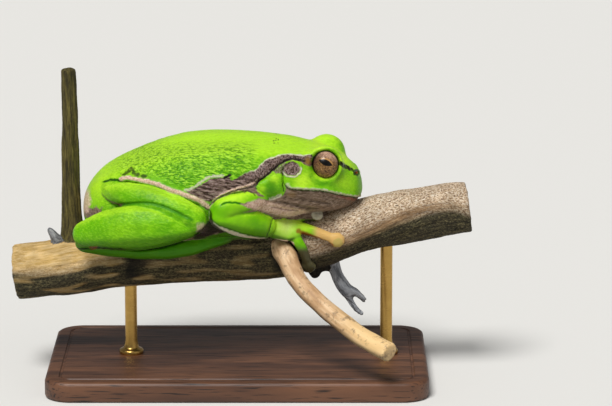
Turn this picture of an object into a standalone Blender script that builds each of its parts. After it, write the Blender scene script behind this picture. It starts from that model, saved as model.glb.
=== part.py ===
"""A European tree frog resting on a cut length of branch: a still, life-size model on a plain display stand.

Tables are in millimetres and meshes in metres. +X is the way the frog faces, +Y its left side and +Z up.
The origin is the middle of the stand's underside. Heights in the tables are counted from the perch's axis
at x = 0, and a mesh is lifted to its place over the table when it is made.
"""

import math

import bmesh
import bpy
import numpy as np
from mathutils import Matrix, Vector
from mathutils.bvhtree import BVHTree

# Driving sizes
MM = 0.001
GAP = 0.3
AXIS_HEIGHT = 18.2
EYE_RADIUS = 2.15
EYE_CENTRE = (12.8, 4.55, 14.52)
EYE_FACING = (0.10, 0.96, 0.22)
NECK_X = 6.5
LID_RADIUS, LID_REACH, LID_THICKNESS = 2.35, 0.9, 0.35
BROW_RADII, BROW_DEPTH = (2.9, 2.9, 2.6), 0.5
DRUM_RADIUS, DRUM_THICKNESS = 1.15, 0.2
FOLD_RADIUS, CANTHUS_RADIUS = 0.4, 0.45
LIP_RADIUS, LIP_RISE = 0.32, 0.36
MOUTH_HALF_HEIGHT, MOUTH_DEPTH = 0.16, 0.5
NOSE_RADII, NOSTRIL_RADII = (0.6, 0.55, 0.5), (0.3, 0.45, 0.22)
ARMPIT_CENTRE, ARMPIT_RADII = (4.4, 7.3, 12.0), (2.0, 1.7, 2.0)
FINGER_RADIUS, FINGER_DISC = 0.72, 1.05
TOE_RADIUS, TOE_DISC = 0.62, 0.95
BASE_LENGTH, BASE_DEPTH, BASE_THICKNESS = 56.0, 34.0, 3.0
BASE_CORNER, BASE_BEVEL = 4.0, 0.6
ROD_RADIUS = 0.9
ROD_PLACES = {"stand_rod_rear": -16.0, "stand_rod_front": 22.0}
SIDES = {"right": -1, "left": 1}

# The perch's axis and radius: x, y, height, radius
BRANCH = (
    (-33.0, 0.2, -2.8, 4.0),
    (-28.0, 0.1, -2.2, 3.95),
    (-24.5, 0.1, -1.8, 4.2),
    (-19.5, 0.0, -1.2, 3.85),
    (-13.0, 0.0, -0.7, 3.8),
    (-5.0, 0.0, -0.2, 3.75),
    (1.5, 0.0, 0.1, 3.85),
    (6.0, 0.0, 0.6, 4.05),
    (9.5, 0.0, 1.4, 3.8),
    (12.8, 0.0, 2.2, 3.75),
    (16.4, 0.0, 3.8, 3.85),
    (20.0, 0.0, 4.85, 3.75),
    (24.5, 0.1, 5.6, 3.85),
    (29.5, 0.2, 6.5, 3.75),
    (34.0, 0.3, 7.15, 3.65),
)
# Side shoots of the perch: x, y, height, radius
TWIG_UP = (
    (-24.3, 0.2, 1.0, 2.3),
    (-24.5, 0.3, 3.2, 1.7),
    (-24.6, 0.3, 6.0, 1.35),
    (-24.7, 0.2, 14.0, 1.2),
    (-24.7, 0.1, 21.0, 1.1),
    (-24.8, 0.0, 27.8, 1.05),
)
TWIG_FRONT = (
    (6.0, -3.2, 1.9, 1.4),
    (7.3, -4.9, 0.5, 1.45),
    (8.6, -6.3, -2.2, 1.25),
    (11.5, -9.2, -4.8, 1.2),
    (15.0, -12.6, -7.0, 1.25),
    (18.3, -16.0, -8.7, 1.3),
    (22.0, -19.6, -9.9, 1.35),
)
STUB = (
    (13.7, 0.9, -0.4, 1.0),
    (14.2, 1.1, -2.2, 0.85),
    (14.7, 1.3, -3.7, 0.85),
    (15.4, 1.4, -5.0, 0.95),
    (16.2, 1.4, -6.1, 0.85),
)
STUB_PRONGS = (
    ((15.9, 1.2, -5.6, 0.65), (17.4, 1.0, -6.0, 0.5), (18.8, 0.8, -7.1, 0.32)),
    ((16.1, 1.5, -5.8, 0.5), (17.5, 1.8, -6.5, 0.4), (18.7, 2.0, -7.7, 0.28)),
    ((16.2, 1.4, -6.2, 0.6), (16.7, 1.4, -7.5, 0.42), (17.5, 1.2, -8.7, 0.32), (18.4, 1.0, -9.4, 0.24)),
)
# Knots under the branch beside the stub: centre and radii
KNOTS = (((11.4, 0.5, -2.5), (1.0, 1.0, 1.35)), ((12.8, 0.7, -1.9), (1.0, 1.0, 0.9)))
BUD = ((-26.2, -0.6, 1.2, 0.9), (-27.1, -0.9, 2.7, 0.6), (-27.9, -1.1, 3.9, 0.28))

# Trunk stations, rump to snout: x, top, back (y, z), side (y, z), low (y, z), bottom
TRUNK = (
    (-22.9, 7.4, 0.0, 7.4, 0.0, 7.4, 0.0, 7.4, 7.4),
    (-22.2, 10.0, 2.3, 9.4, 3.7, 7.4, 3.1, 5.2, 4.6),
    (-19.6, 13.2, 4.4, 12.2, 6.6, 8.6, 6.3, 4.6, 3.0),
    (-14.5, 15.7, 6.0, 14.5, 8.4, 9.2, 6.6, 4.0, 2.3),
    (-7.5, 17.9, 7.4, 16.4, 10.0, 10.0, 7.9, 4.4, 2.6),
    (0.0, 18.1, 7.0, 16.8, 9.3, 10.8, 7.3, 5.2, 3.0),
    (6.5, 17.7, 5.9, 16.4, 7.7, 11.5, 5.9, 7.2, 4.9),
    (9.5, 17.1, 5.2, 15.9, 7.3, 11.45, 5.6, 8.0, 6.6),
    (12.6, 16.2, 4.3, 15.0, 6.4, 11.0, 4.7, 7.9, 6.9),
    (15.4, 14.8, 3.3, 13.9, 4.7, 10.3, 3.5, 7.9, 7.2),
    (17.6, 12.9, 2.1, 12.3, 2.7, 9.9, 1.9, 8.5, 7.9),
    (18.6, 10.8, 0.0, 10.8, 0.0, 10.8, 0.0, 10.8, 10.8),
)
# Lines on the head's right half, which are laid on the trunk: x, distance from the middle, height
MOUTH = ((7.6, 7.6, 11.45), (9.5, 7.5, 11.45), (12.6, 6.6, 11.0), (15.4, 4.9, 10.3), (17.3, 2.8, 9.6))
SNOUT_TIP = (18.6, 0.0, 9.3)
FOLD = ((10.4, 7.2, 14.6), (9.2, 7.2, 15.6), (7.4, 7.2, 15.7), (5.4, 8.4, 14.6), (3.4, 9.4, 13.0))
CANTHUS = ((14.8, 3.9, 14.2), (16.2, 3.0, 13.6), (17.3, 2.1, 12.9))
DRUM, DRUM_FACING = (8.1, 8.0, 14.3), (0.0, 0.93, 0.36)
NOSTRIL, NOSTRIL_REACH = (17.5, 2.2, 12.75), (0.2, 0.45, 0.1)

# Limbs on the right side: x, distance from the middle, height, half height, half width
THIGH = (
    (-18.5, 5.4, 10.3, 1.6, 1.6),
    (-15.8, 7.6, 10.5, 1.9, 2.0),
    (-12.5, 9.2, 10.0, 2.2, 2.3),
    (-8.6, 10.6, 8.8, 2.2, 2.1),
    (-6.2, 11.0, 7.7, 1.9, 1.9),
)
SHIN = (
    (-6.3, 11.0, 7.0, 1.7, 1.7),
    (-9.5, 11.2, 6.8, 2.6, 2.1),
    (-14.0, 10.8, 6.5, 3.3, 2.4),
    (-18.5, 9.6, 5.8, 2.9, 2.2),
    (-21.3, 8.4, 5.0, 2.2, 1.8),
    (-22.3, 7.9, 4.7, 1.9, 1.6),
)
UPPER_ARM = (
    (5.4, 5.4, 10.4, 1.6, 1.5),
    (1.6, 8.7, 10.0, 1.8, 1.8),
    (-2.0, 10.3, 8.9, 1.75, 1.7),
)
FOREARM = (
    (-2.3, 10.5, 8.2, 1.9, 1.7),
    (0.4, 9.2, 7.3, 2.35, 1.9),
    (2.8, 7.6, 6.3, 2.1, 1.7),
    (4.4, 6.3, 5.6, 1.7, 1.4),
)
# Sole and palm: x, turn from the branch's top in degrees, lift over the bark, half thickness, half width
SOLE = (
    (-22.3, 55, 4.4, 1.4, 1.3),
    (-19.0, 58, 3.0, 1.3, 1.3),
    (-14.5, 61, 1.8, 1.3, 1.4),
    (-10.5, 59, 1.4, 1.3, 1.8),
    (-7.0, 52, 1.3, 1.2, 2.1),
    (-4.2, 43, 1.2, 1.0, 2.0),
    (-1.6, 36, 1.0, 0.8, 1.7),
)
PALM = (
    (5.2, 48, 3.1, 1.3, 1.6),
    (6.8, 47, 1.8, 1.05, 1.9),
    (8.4, 45, 1.4, 0.85, 1.8),
)
# Toes and fingers, inner to outer: x, turn and lift at the root, the middle and the tip
TOES = (
    ((-7.6, 38, 1.2), (-5.9, 24, 0.9), (-4.4, 12, 0.65)),
    ((-5.2, 34, 1.2), (-3.2, 22, 0.9), (-1.6, 10, 0.65)),
    ((-2.8, 30, 1.0), (-0.8, 22, 0.9), (1.3, 14, 0.65)),
    ((-1.9, 36, 1.0), (0.8, 31, 0.9), (3.4, 25, 0.65)),
    ((-2.6, 45, 1.0), (-0.6, 42, 0.9), (1.4, 38, 0.65)),
)
FINGERS = (
    ((6.9, 34, 1.4), (7.9, 17, 1.0), (8.6, 5, 0.65)),
    ((7.8, 33, 1.7), (9.8, 22, 1.3), (11.7, 19, 0.75)),
    ((8.6, 44, 1.4), (11.8, 61, 0.9), (14.6, 88, 0.65)),
    ((8.0, 55, 1.3), (9.5, 84, 0.9), (10.4, 128, 0.65)),
)
# How far the limbs and the eye of a side are moved forward, as the two sides don't mirror each other exactly
LEG_SHIFT = {"right": 0.0, "left": 0.8}
ARM_SHIFT = {"right": 0.0, "left": -0.8}
EYE_SHIFT = {-1: 0.0, 1: 0.35}


def smooth_rows(rows, samples):
    """Rows on a Catmull-Rom curve through the given rows, with this many to a span and the last row added."""
    rows = np.array(rows, float)
    padded = np.vstack([2 * rows[0] - rows[1], rows, 2 * rows[-1] - rows[-2]])
    found = []
    for i in range(len(rows) - 1):
        a, b, c, d = padded[i : i + 4]
        for t in np.arange(samples) / samples:
            bend = (c - a) * t + (2 * a - 5 * b + 4 * c - d) * t**2 + (3 * b - a - 3 * c + d) * t**3
            found.append(b + bend / 2)
    return np.array(found + [rows[-1]])


BRANCH_ROWS = smooth_rows(BRANCH, 8)


def branch_at(x):
    """The branch's axis and radius at x, as y, height, radius."""
    return [np.interp(x, BRANCH_ROWS[:, 0], BRANCH_ROWS[:, k]) for k in (1, 2, 3)]


def on_branch(x, turn, lift, side):
    """A point this far over the bark, turned so many degrees from the top towards one side."""
    y, z, radius = branch_at(x)
    reach, angle = radius + lift, math.radians(turn)
    return (x, y + side * reach * math.sin(angle), z + reach * math.cos(angle))


def up(point):
    return (0.0, 0.0, 1.0)


def forward(point):
    return (1.0, 0.0, 0.0)


def from_branch(point):
    """The direction from the branch's axis to a point."""
    y, z, _ = branch_at(point[0])
    return (0.0, point[1] - y, point[2] - z)


def lifted(point):
    """A table's place, as a place over the stand's underside in metres."""
    return Vector((point[0], point[1], point[2] + AXIS_HEIGHT)) * MM


def added(name, shape):
    """Makes an object of a bmesh, with its faces outwards."""
    bmesh.ops.recalc_face_normals(shape, faces=shape.faces)
    mesh = bpy.data.meshes.new(name)
    shape.to_mesh(mesh)
    shape.free()
    made = bpy.data.objects.new(name, mesh)
    bpy.context.scene.collection.objects.link(made)
    return made


def loft(name, rings):
    """A closed body through rings of equal count, its two ends closed by a fan to their middle."""
    shape = bmesh.new()
    first = shape.verts.new(lifted(rings[0].mean(axis=0)))
    rows = [[shape.verts.new(lifted(p)) for p in ring] for ring in rings]
    last = shape.verts.new(lifted(rings[-1].mean(axis=0)))
    count = len(rows[0])
    for j in range(count):
        k = (j + 1) % count
        shape.faces.new((first, rows[0][k], rows[0][j]))
        shape.faces.new((last, rows[-1][j], rows[-1][k]))
        for here, there in zip(rows, rows[1:]):
            shape.faces.new((here[j], here[k], there[k], there[j]))
    return added(name, shape)


def rounded(rows, along):
    """The tube's rows with three smaller ones before the first, so that it starts round."""
    reach = 0.95 * min(rows[0, 3:5])
    before = []
    for degrees in (78, 52, 26):
        angle = math.radians(degrees)
        place = rows[0, :3] - along[0] * reach * math.sin(angle)
        before.append((*place, *(rows[0, 3:5] * math.cos(angle))))
    return np.vstack([before, rows]), np.vstack([[along[0]] * 3, along])


def tube(name, rows, rise_at=up, sides=10, samples=2, round_start=True, round_end=True, rough=0.0):
    """A tube through rows of x, y, z, half height, half width. rise_at gives the way that height points."""
    rows = smooth_rows(rows, samples)
    along = np.gradient(rows[:, :3], axis=0)
    along /= np.linalg.norm(along, axis=1)[:, None]
    if round_start:
        rows, along = rounded(rows, along)
    if round_end:
        rows, along = rounded(rows[::-1], -along[::-1])
        rows, along = rows[::-1], -along[::-1]
    angles = np.arange(sides) * 2 * math.pi / sides
    rings = []
    for (x, y, z, high, wide), way in zip(rows, along):
        rise = np.array(rise_at((x, y, z)), float)
        rise -= way * rise.dot(way)
        rise /= np.linalg.norm(rise)
        uneven = 1 + rough * (np.sin(3 * angles + 0.9 * x) + np.sin(5 * angles - 1.7 * x))
        ring = np.outer(np.cos(angles) * uneven * high, rise)
        ring += np.outer(np.sin(angles) * uneven * wide, np.cross(way, rise))
        rings.append(ring + (x, y, z))
    return loft(name, rings)


def round_tube(name, rows, **how):
    """A tube through rows of x, y, z, radius."""
    rows = [(x, y, z, radius, radius) for x, y, z, radius in rows]
    return tube(name, rows, **how)


def facing(direction):
    return Vector(direction).to_track_quat("Z", "Y").to_matrix().to_4x4()


def ball(name, centre, radii, turn=Matrix(), segments=16):
    """An ellipsoid with half sizes along its own axes, turned by a matrix."""
    shape = bmesh.new()
    place = Matrix.Translation(lifted(centre)) @ turn @ Matrix.Diagonal((*(np.array(radii) * MM), 1.0))
    bmesh.ops.create_uvsphere(shape, u_segments=segments, v_segments=segments // 2, radius=1, matrix=place)
    return added(name, shape)


def box(name, low, high):
    shape = bmesh.new()
    size, centre = np.subtract(high, low), np.add(high, low) / 2
    place = Matrix.Translation(lifted(centre)) @ Matrix.Diagonal((*(size * MM), 1.0))
    bmesh.ops.create_cube(shape, size=1, matrix=place)
    return added(name, shape)


def hoop(name, centre, direction, radius, thickness, segments):
    """A thin ring round a direction, with a section of five sides."""
    shape = bmesh.new()
    place = Matrix.Translation(lifted(centre)) @ facing(direction)
    rows = []
    for i in range(segments):
        around = 2 * math.pi * i / segments
        row = []
        for j in range(5):
            across = 2 * math.pi * j / 5
            reach = radius + thickness * math.cos(across)
            spot = Vector((reach * math.cos(around), reach * math.sin(around), thickness * math.sin(across)))
            row.append(shape.verts.new(place @ (spot * MM)))
        rows.append(row)
    for i in range(segments):
        here, there = rows[i], rows[(i + 1) % segments]
        for j in range(5):
            k = (j + 1) % 5
            shape.faces.new((here[j], here[k], there[k], there[j]))
    return added(name, shape)


def rod(name, start, end, radius, sides=16):
    """A plain cylinder between two points."""
    shape = bmesh.new()
    way = lifted(end) - lifted(start)
    place = Matrix.Translation((lifted(start) + lifted(end)) / 2) @ facing(way)
    size = {"radius1": radius * MM, "radius2": radius * MM, "depth": way.length}
    bmesh.ops.create_cone(shape, cap_ends=True, segments=sides, matrix=place, **size)
    return added(name, shape)


def swollen(made):
    """A copy pushed out by the gap along its normals, which cuts a neighbour clear."""
    copy = bpy.data.objects.new(made.name + "_clear", made.data.copy())
    bpy.context.scene.collection.objects.link(copy)
    for vertex in copy.data.vertices:
        vertex.co += made.data.vertex_normals[vertex.index].vector * GAP * MM
    return copy


def combine(made, others, operation):
    """Applies one Boolean of several objects, which are then removed."""
    if not others:
        return made
    group = bpy.data.collections.new("operands")
    for other in others:
        group.objects.link(other)
    change = made.modifiers.new("combine", "BOOLEAN")
    change.operation = operation
    change.operand_type = "COLLECTION"
    change.collection = group
    change.solver = "MANIFOLD"
    graph = bpy.context.evaluated_depsgraph_get()
    made_mesh = bpy.data.meshes.new_from_object(made.evaluated_get(graph))
    made.modifiers.clear()
    made.data = made_mesh
    for other in others:
        bpy.data.objects.remove(other)
    bpy.data.collections.remove(group)
    return made


def keep_largest(made):
    """Keeps the largest closed surface of a mesh, without the crumbs that a cut leaves."""
    shape = bmesh.new()
    shape.from_mesh(made.data)
    left = set(shape.verts)
    groups = []
    while left:
        edge = [left.pop()]
        group = list(edge)
        while edge:
            vertex = edge.pop()
            for link in vertex.link_edges:
                other = link.other_vert(vertex)
                if other in left:
                    left.remove(other)
                    edge.append(other)
                    group.append(other)
        groups.append(group)
    groups.sort(key=len)
    bmesh.ops.delete(shape, geom=[vertex for group in groups[:-1] for vertex in group], context="VERTS")
    shape.to_mesh(made.data)
    shape.free()
    return made


def trunk(name, spans, around):
    """The whole body from rump to snout, as one loft through the trunk's stations."""
    rings = []
    for x, top, back_y, back_z, side_y, side_z, low_y, low_z, bottom in smooth_rows(TRUNK, spans)[1:-1]:
        half = [(0, top), (back_y, back_z), (side_y, side_z), (low_y, low_z), (0, bottom)]
        outline = half + [(-y, z) for y, z in half[-2:0:-1]]
        outline = smooth_rows([outline[-1], *outline, outline[0], outline[1]], around)[around : -2 * around]
        rings.append(np.array([(x, y, z) for y, z in outline]))
    return loft(name, rings)


def snapped(surface, points):
    """The nearest places on a surface, in the tables' millimetres."""
    tree = BVHTree.FromObject(surface, bpy.context.evaluated_depsgraph_get())
    found = [tree.find_nearest(lifted(p))[0] / MM for p in points]
    return [(v.x, v.y, v.z - AXIS_HEIGHT) for v in found]


def mouth_line(skin, rise):
    """The mouth from one corner round the snout to the other, raised by so much and laid on the skin."""
    right = [(x, -y, z + rise) for x, y, z in MOUTH]
    left = [(x, y, z + rise) for x, y, z in MOUTH[::-1]]
    return snapped(skin, [*right, (*SNOUT_TIP[:2], SNOUT_TIP[2] + rise), *left])


def eye_place(side):
    """The middle of an eyeball, and the way that it looks."""
    x, y, z = EYE_CENTRE
    return np.array((x + EYE_SHIFT[side], side * y, z)), np.array(EYE_FACING) * (1, side, 1)


def head_forms(skin, side):
    """What stands out on one side of the head: the brow, the lids, the fold and the ring of the ear drum."""
    eye, look = eye_place(side)
    brow = ball("brow", eye - BROW_DEPTH * look, BROW_RADII, facing(look), 12)
    lids = hoop("lids", eye + LID_REACH * look, look, LID_RADIUS, LID_THICKNESS, 16)
    drum = snapped(skin, [np.array(DRUM) * (1, side, 1)])[0]
    drum_ring = hoop("drum", drum, np.array(DRUM_FACING) * (1, side, 1), DRUM_RADIUS, DRUM_THICKNESS, 10)
    fold = [(*p, FOLD_RADIUS) for p in snapped(skin, [(x, side * y, z) for x, y, z in FOLD])]
    canthus = [(*p, CANTHUS_RADIUS) for p in snapped(skin, [(x, side * y, z) for x, y, z in CANTHUS])]
    nose = snapped(skin, [np.array(NOSTRIL) * (1, side, 1)])[0]
    return [
        brow,
        lids,
        drum_ring,
        round_tube("fold", fold, sides=6, samples=1),
        round_tube("canthus", canthus, sides=6, samples=1),
        ball("nose", nose, NOSE_RADII, segments=6),
    ]


def head_cuts(skin, side):
    """The eye's socket, the opening between the lids and the nostril on one side of the head."""
    eye, look = eye_place(side)
    opening = math.sqrt((EYE_RADIUS + GAP) ** 2 - LID_REACH**2)
    nose = snapped(skin, [np.array(NOSTRIL) * (1, side, 1)])[0]
    return [
        ball("socket", eye, [EYE_RADIUS + GAP] * 3, segments=12),
        rod("opening", eye + LID_REACH * look, eye + 4 * look, opening),
        ball("nostril", nose + np.array(NOSTRIL_REACH) * (1, side, 1), NOSTRIL_RADII, segments=6),
    ]


def limb(name, table, side, shift):
    return tube(name, [(x + shift, side * y, z, high, wide) for x, y, z, high, wide in table], sides=10)


def digit(name, route, radius, disc, side, shift):
    """A finger or toe that lies on the bark and ends in a round, flat disc."""
    spots = smooth_rows([on_branch(x + shift, turn, lift, side) for x, turn, lift in route], 2)
    share = np.linspace(0, 1, len(spots))
    size = radius * np.interp(share, (0.0, 0.3, 0.8, 1.0), (1.2, 1.0, 0.85, 0.8))
    rows = [(*spot, 0.92 * r, r) for spot, r in zip(spots, size)]
    tip = spots[-1]
    rise = Vector(from_branch(tip)).normalized()
    way = Vector(tip - spots[-2])
    way = (way - rise * way.dot(rise)).normalized()
    turn = Matrix((way, rise.cross(way), rise)).transposed().to_4x4()
    pad = ball(name + "_disc", tip, (1.1 * disc, disc, 0.55), turn, 8)
    return [tube(name, rows, from_branch, 6, 1, False, False), pad]


def paw(name, palm, digits, radius, disc, side, shift):
    """A palm or sole with its digits, as closed pieces that overlap."""
    rows = [(*on_branch(x + shift, turn, lift, side), high, wide) for x, turn, lift, high, wide in palm]
    pieces = [tube(name, rows, from_branch, samples=1)]
    for route in digits:
        pieces += digit(name + "_digit", route, radius, disc, side, shift)
    return pieces


def stand_base():
    """A flat board with rounded corners, its edges eased."""
    shape = bmesh.new()
    place = Matrix.Translation((0, 0, BASE_THICKNESS / 2 * MM))
    size = Matrix.Diagonal((BASE_LENGTH * MM, BASE_DEPTH * MM, BASE_THICKNESS * MM, 1.0))
    bmesh.ops.create_cube(shape, size=1, matrix=place @ size)
    upright = [e for e in shape.edges if abs(e.verts[0].co.z - e.verts[1].co.z) > MM]
    bmesh.ops.bevel(shape, geom=upright, offset=BASE_CORNER * MM, segments=6, profile=0.5, affect="EDGES")
    level = [e for e in shape.edges if abs(e.verts[0].co.z - e.verts[1].co.z) < 0.1 * MM]
    rims = [e for e in level if e.calc_face_angle() > 1]
    bmesh.ops.bevel(shape, geom=rims, offset=BASE_BEVEL * MM, segments=2, profile=0.5, affect="EDGES")
    return added("stand_base", shape)


def stand_rod(name, x):
    """An upright from the board into the branch, which is then cut clear of the bark."""
    y, z, _ = branch_at(x)
    foot = BASE_THICKNESS + GAP - AXIS_HEIGHT
    return rod(name, (x, y, foot), (x, y, z), ROD_RADIUS)


def material(name, colour, roughness, metallic=0.0):
    made = bpy.data.materials.get(name)
    if made is None:
        made = bpy.data.materials.new(name)
        made.use_nodes = True
        shader = made.node_tree.nodes["Principled BSDF"]
        shader.inputs["Base Color"].default_value = (*colour, 1.0)
        shader.inputs["Roughness"].default_value = roughness
        shader.inputs["Metallic"].default_value = metallic
    return made


FINISHES = {
    "skin": ((0.23, 0.60, 0.02), 0.42),
    "eye": ((0.10, 0.05, 0.02), 0.12),
    "bark": ((0.17, 0.12, 0.08), 0.85),
    "pale_bark": ((0.42, 0.27, 0.15), 0.75),
    "stand_wood": ((0.16, 0.08, 0.04), 0.5),
    "rod_metal": ((0.6, 0.5, 0.3), 0.35, 1.0),
}


def perch_nodes():
    """The cut branch with its knots, and its side shoots, each cut clear of the branch."""
    branch = [round_tube("branch", BRANCH, sides=20, round_start=False, round_end=False, rough=0.012)]
    branch += [ball("knot", centre, radii, segments=10) for centre, radii in KNOTS]
    twig = round_tube("twig", TWIG_UP, rise_at=forward, sides=12, round_end=False)
    front = round_tube("front", TWIG_FRONT, sides=12, round_end=False)
    stub = [round_tube("stub", STUB, sides=10)]
    stub += [round_tube("prong", rows, sides=6) for rows in STUB_PRONGS]
    bud = round_tube("bud", BUD, sides=8)
    return {
        "perch_branch": ("bark", branch, []),
        "perch_twig_up": ("bark", [twig], []),
        "perch_bud": ("bark", [bud], []),
        "perch_twig_front": ("pale_bark", [front], []),
        "perch_stub": ("bark", stub, []),
    }


def frog_nodes():
    """The frog's nodes: the digits first, as a cut would make them too thin, and then what lies on them."""
    nodes = {}
    for label, side in SIDES.items():
        pieces = paw("foot", SOLE, TOES, TOE_RADIUS, TOE_DISC, side, LEG_SHIFT[label])
        nodes[f"foot_{label}"] = ("skin", pieces, [])
        pieces = paw("hand", PALM, FINGERS, FINGER_RADIUS, FINGER_DISC, side, ARM_SHIFT[label])
        nodes[f"hand_{label}"] = ("skin", pieces, [])
    for label, side in SIDES.items():
        eye = ball("eye", eye_place(side)[0], [EYE_RADIUS] * 3, segments=16)
        nodes[f"eye_{label}"] = ("eye", [eye], [])
    skin = trunk("skin", 4, 4)
    armpit = [np.array(ARMPIT_CENTRE) * (1, side, 1) for side in SIDES.values()]
    armpits = [ball("armpit", centre, ARMPIT_RADII, segments=8) for centre in armpit]
    behind = box("behind", (-60, -30, -30), (NECK_X + GAP / 2, 30, 60))
    before = box("before", (NECK_X - GAP / 2, -30, -30), (60, 30, 60))
    forms, cuts = [], [behind]
    for side in SIDES.values():
        forms += head_forms(skin, side)
        cuts += head_cuts(skin, side)
    lip = [(*p, LIP_RADIUS) for p in mouth_line(skin, LIP_RISE)]
    forms.append(round_tube("lip", lip, sides=5, samples=1))
    groove = [(*p, MOUTH_HALF_HEIGHT, MOUTH_DEPTH) for p in mouth_line(skin, 0.0)]
    cuts.append(tube("mouth", groove, sides=4, samples=1))
    nodes["torso"] = ("skin", [trunk("torso", 2, 2), *armpits], [before])
    nodes["head"] = ("skin", [trunk("head", 2, 3), *forms], cuts)
    bpy.data.objects.remove(skin)
    for label, side in SIDES.items():
        nodes[f"thigh_{label}"] = ("skin", [limb("thigh", THIGH, side, LEG_SHIFT[label])], [])
        nodes[f"shin_{label}"] = ("skin", [limb("shin", SHIN, side, LEG_SHIFT[label])], [])
        nodes[f"upper_arm_{label}"] = ("skin", [limb("upper_arm", UPPER_ARM, side, ARM_SHIFT[label])], [])
        nodes[f"forearm_{label}"] = ("skin", [limb("forearm", FOREARM, side, ARM_SHIFT[label])], [])
    return nodes


def corners(made):
    return np.array([vertex.co for vertex in made.data.vertices])


def near(piece, other):
    """Whether the boxes of two objects come within the gap."""
    a, b = corners(piece), corners(other)
    return bool(np.all(a.min(0) - GAP * MM < b.max(0)) and np.all(b.min(0) - GAP * MM < a.max(0)))


def copied(made):
    copy = bpy.data.objects.new("cutter", made.data.copy())
    bpy.context.scene.collection.objects.link(copy)
    return copy


def main():
    for old in list(bpy.data.objects):
        bpy.data.objects.remove(old)
    nodes = {**perch_nodes(), **frog_nodes()}
    nodes["stand_base"] = ("stand_wood", [stand_base()], [])
    for name, x in ROD_PLACES.items():
        nodes[name] = ("rod_metal", [stand_rod(name, x)], [])
    clear = {}
    for name, (finish, pieces, cuts) in nodes.items():
        copies = [swollen(piece) for piece in pieces]
        for other, shapes in clear.items():
            if (other, name) != ("torso", "head"):
                cuts += [copied(shape) for shape in shapes if any(near(piece, shape) for piece in pieces)]
        made = combine(pieces[0], pieces[1:], "UNION")
        made = keep_largest(combine(made, cuts, "DIFFERENCE"))
        made.name = name
        made.data.name = name
        made.data.materials.clear()
        made.data.materials.append(material(finish, *FINISHES[finish]))
        made.data.shade_smooth()
        made.data.set_sharp_from_angle(angle=math.radians(40))
        clear[name] = copies
    for shapes in clear.values():
        for shape in shapes:
            bpy.data.objects.remove(shape)


main()
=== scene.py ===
"""The looks of a still, life-size model of a European tree frog at rest on a cut branch over a small stand.

A mesh is worked on in millimetres and scaled to metres when it is done. +X is the way the frog faces, +Y its
left side and +Z up, and the origin is the middle of the stand's underside.
"""

import math

import bmesh
import bpy
import numpy as np
from mathutils import Matrix, Vector, noise
from mathutils.bvhtree import BVHTree


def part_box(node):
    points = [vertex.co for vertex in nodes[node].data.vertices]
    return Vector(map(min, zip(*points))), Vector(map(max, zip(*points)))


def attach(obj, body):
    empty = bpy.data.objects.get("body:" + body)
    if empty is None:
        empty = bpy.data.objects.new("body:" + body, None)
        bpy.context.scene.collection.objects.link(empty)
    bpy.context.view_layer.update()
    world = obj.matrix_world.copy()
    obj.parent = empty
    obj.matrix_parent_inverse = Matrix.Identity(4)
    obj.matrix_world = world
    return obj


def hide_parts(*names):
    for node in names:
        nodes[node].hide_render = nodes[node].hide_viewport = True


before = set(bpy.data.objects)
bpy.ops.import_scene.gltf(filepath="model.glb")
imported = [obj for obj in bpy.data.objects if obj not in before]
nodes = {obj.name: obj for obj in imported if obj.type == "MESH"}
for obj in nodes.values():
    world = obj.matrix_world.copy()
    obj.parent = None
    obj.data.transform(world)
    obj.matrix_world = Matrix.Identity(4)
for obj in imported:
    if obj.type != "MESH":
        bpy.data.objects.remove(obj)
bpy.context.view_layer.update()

# The board is one piece of walnut with round corners. A router eased its rims and ran a fine groove round
# its top, and it was then oiled. Oil leaves a dull sheen and darkens the open pores.
MM = 0.001
CORNER_RADIUS = 4.0
BOARD_PROFILE = (  # inset and height, from the underside's rim to the inner edge of the groove
    (0.45, 0.0),
    (0.1, 0.18),
    (0.0, 0.45),
    (0.0, 2.35),
    (0.1, 2.72),
    (0.38, 2.93),
    (0.7, 3.0),
    (2.0, 3.0),
    (2.12, 2.82),
    (2.38, 2.82),
    (2.5, 3.0),
)
PORE_LENGTH, PORE_WIDTH = 2.5, 0.16  # drawn about twice as coarse as in the wood
RING_WIDTH = 2.6
CRISP = math.radians(50)  # an edge bent by more than this stays crisp


def colour(code):
    """The linear colour of an sRGB hex code."""
    parts = [int(code[i : i + 2], 16) / 255 for i in (1, 3, 5)]
    return (*[c / 12.92 if c <= 0.04045 else ((c + 0.055) / 1.055) ** 2.4 for c in parts], 1.0)


def add(tree, kind, inputs=(), stops=(), output=None, **settings):
    """Adds a shader node and gives the named output, or its first. An input takes a value or an output."""
    node = tree.nodes.new("ShaderNode" + kind)
    for name, value in settings.items():
        setattr(node, name, value)
    for place, code in stops:
        ramp = node.color_ramp.elements
        stop = ramp.new(place) if 0.0 < place < 1.0 else ramp[-1 if place else 0]
        stop.color = colour(code)
    for name, value in dict(inputs).items():
        socket = next(
            each for number, each in enumerate(node.inputs) if each.enabled and name in (each.name, number)
        )
        if isinstance(value, bpy.types.NodeSocket):
            tree.links.new(value, socket)
        else:
            socket.default_value = value
    return next(each for each in node.outputs if each.enabled and output in (None, each.name))


def tinted(tree, share, under, tint):
    """A colour with another laid over it by a share. The other is an output or a hex code."""
    tint = colour(tint) if isinstance(tint, str) else tint
    return add(tree, "Mix", {"Factor": share, "A": under, "B": tint}, data_type="RGBA")


def surface(name):
    """A new material with only its shader and its output, as the material, its tree and its shader."""
    made = bpy.data.materials.new(name)
    made.use_nodes = True
    return made, made.node_tree, made.node_tree.nodes["Principled BSDF"]


def object_of(name, mesh, finish, slot, *replaced):
    """Shows a mesh as a smooth piece that rides on the still model and stands for some of its nodes."""
    piece = bpy.data.objects.new(name, mesh)
    bpy.context.scene.collection.objects.link(piece)
    mesh.materials.append(finish)
    mesh.shade_smooth()
    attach(piece, "root")
    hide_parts(*replaced)
    return piece


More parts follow.
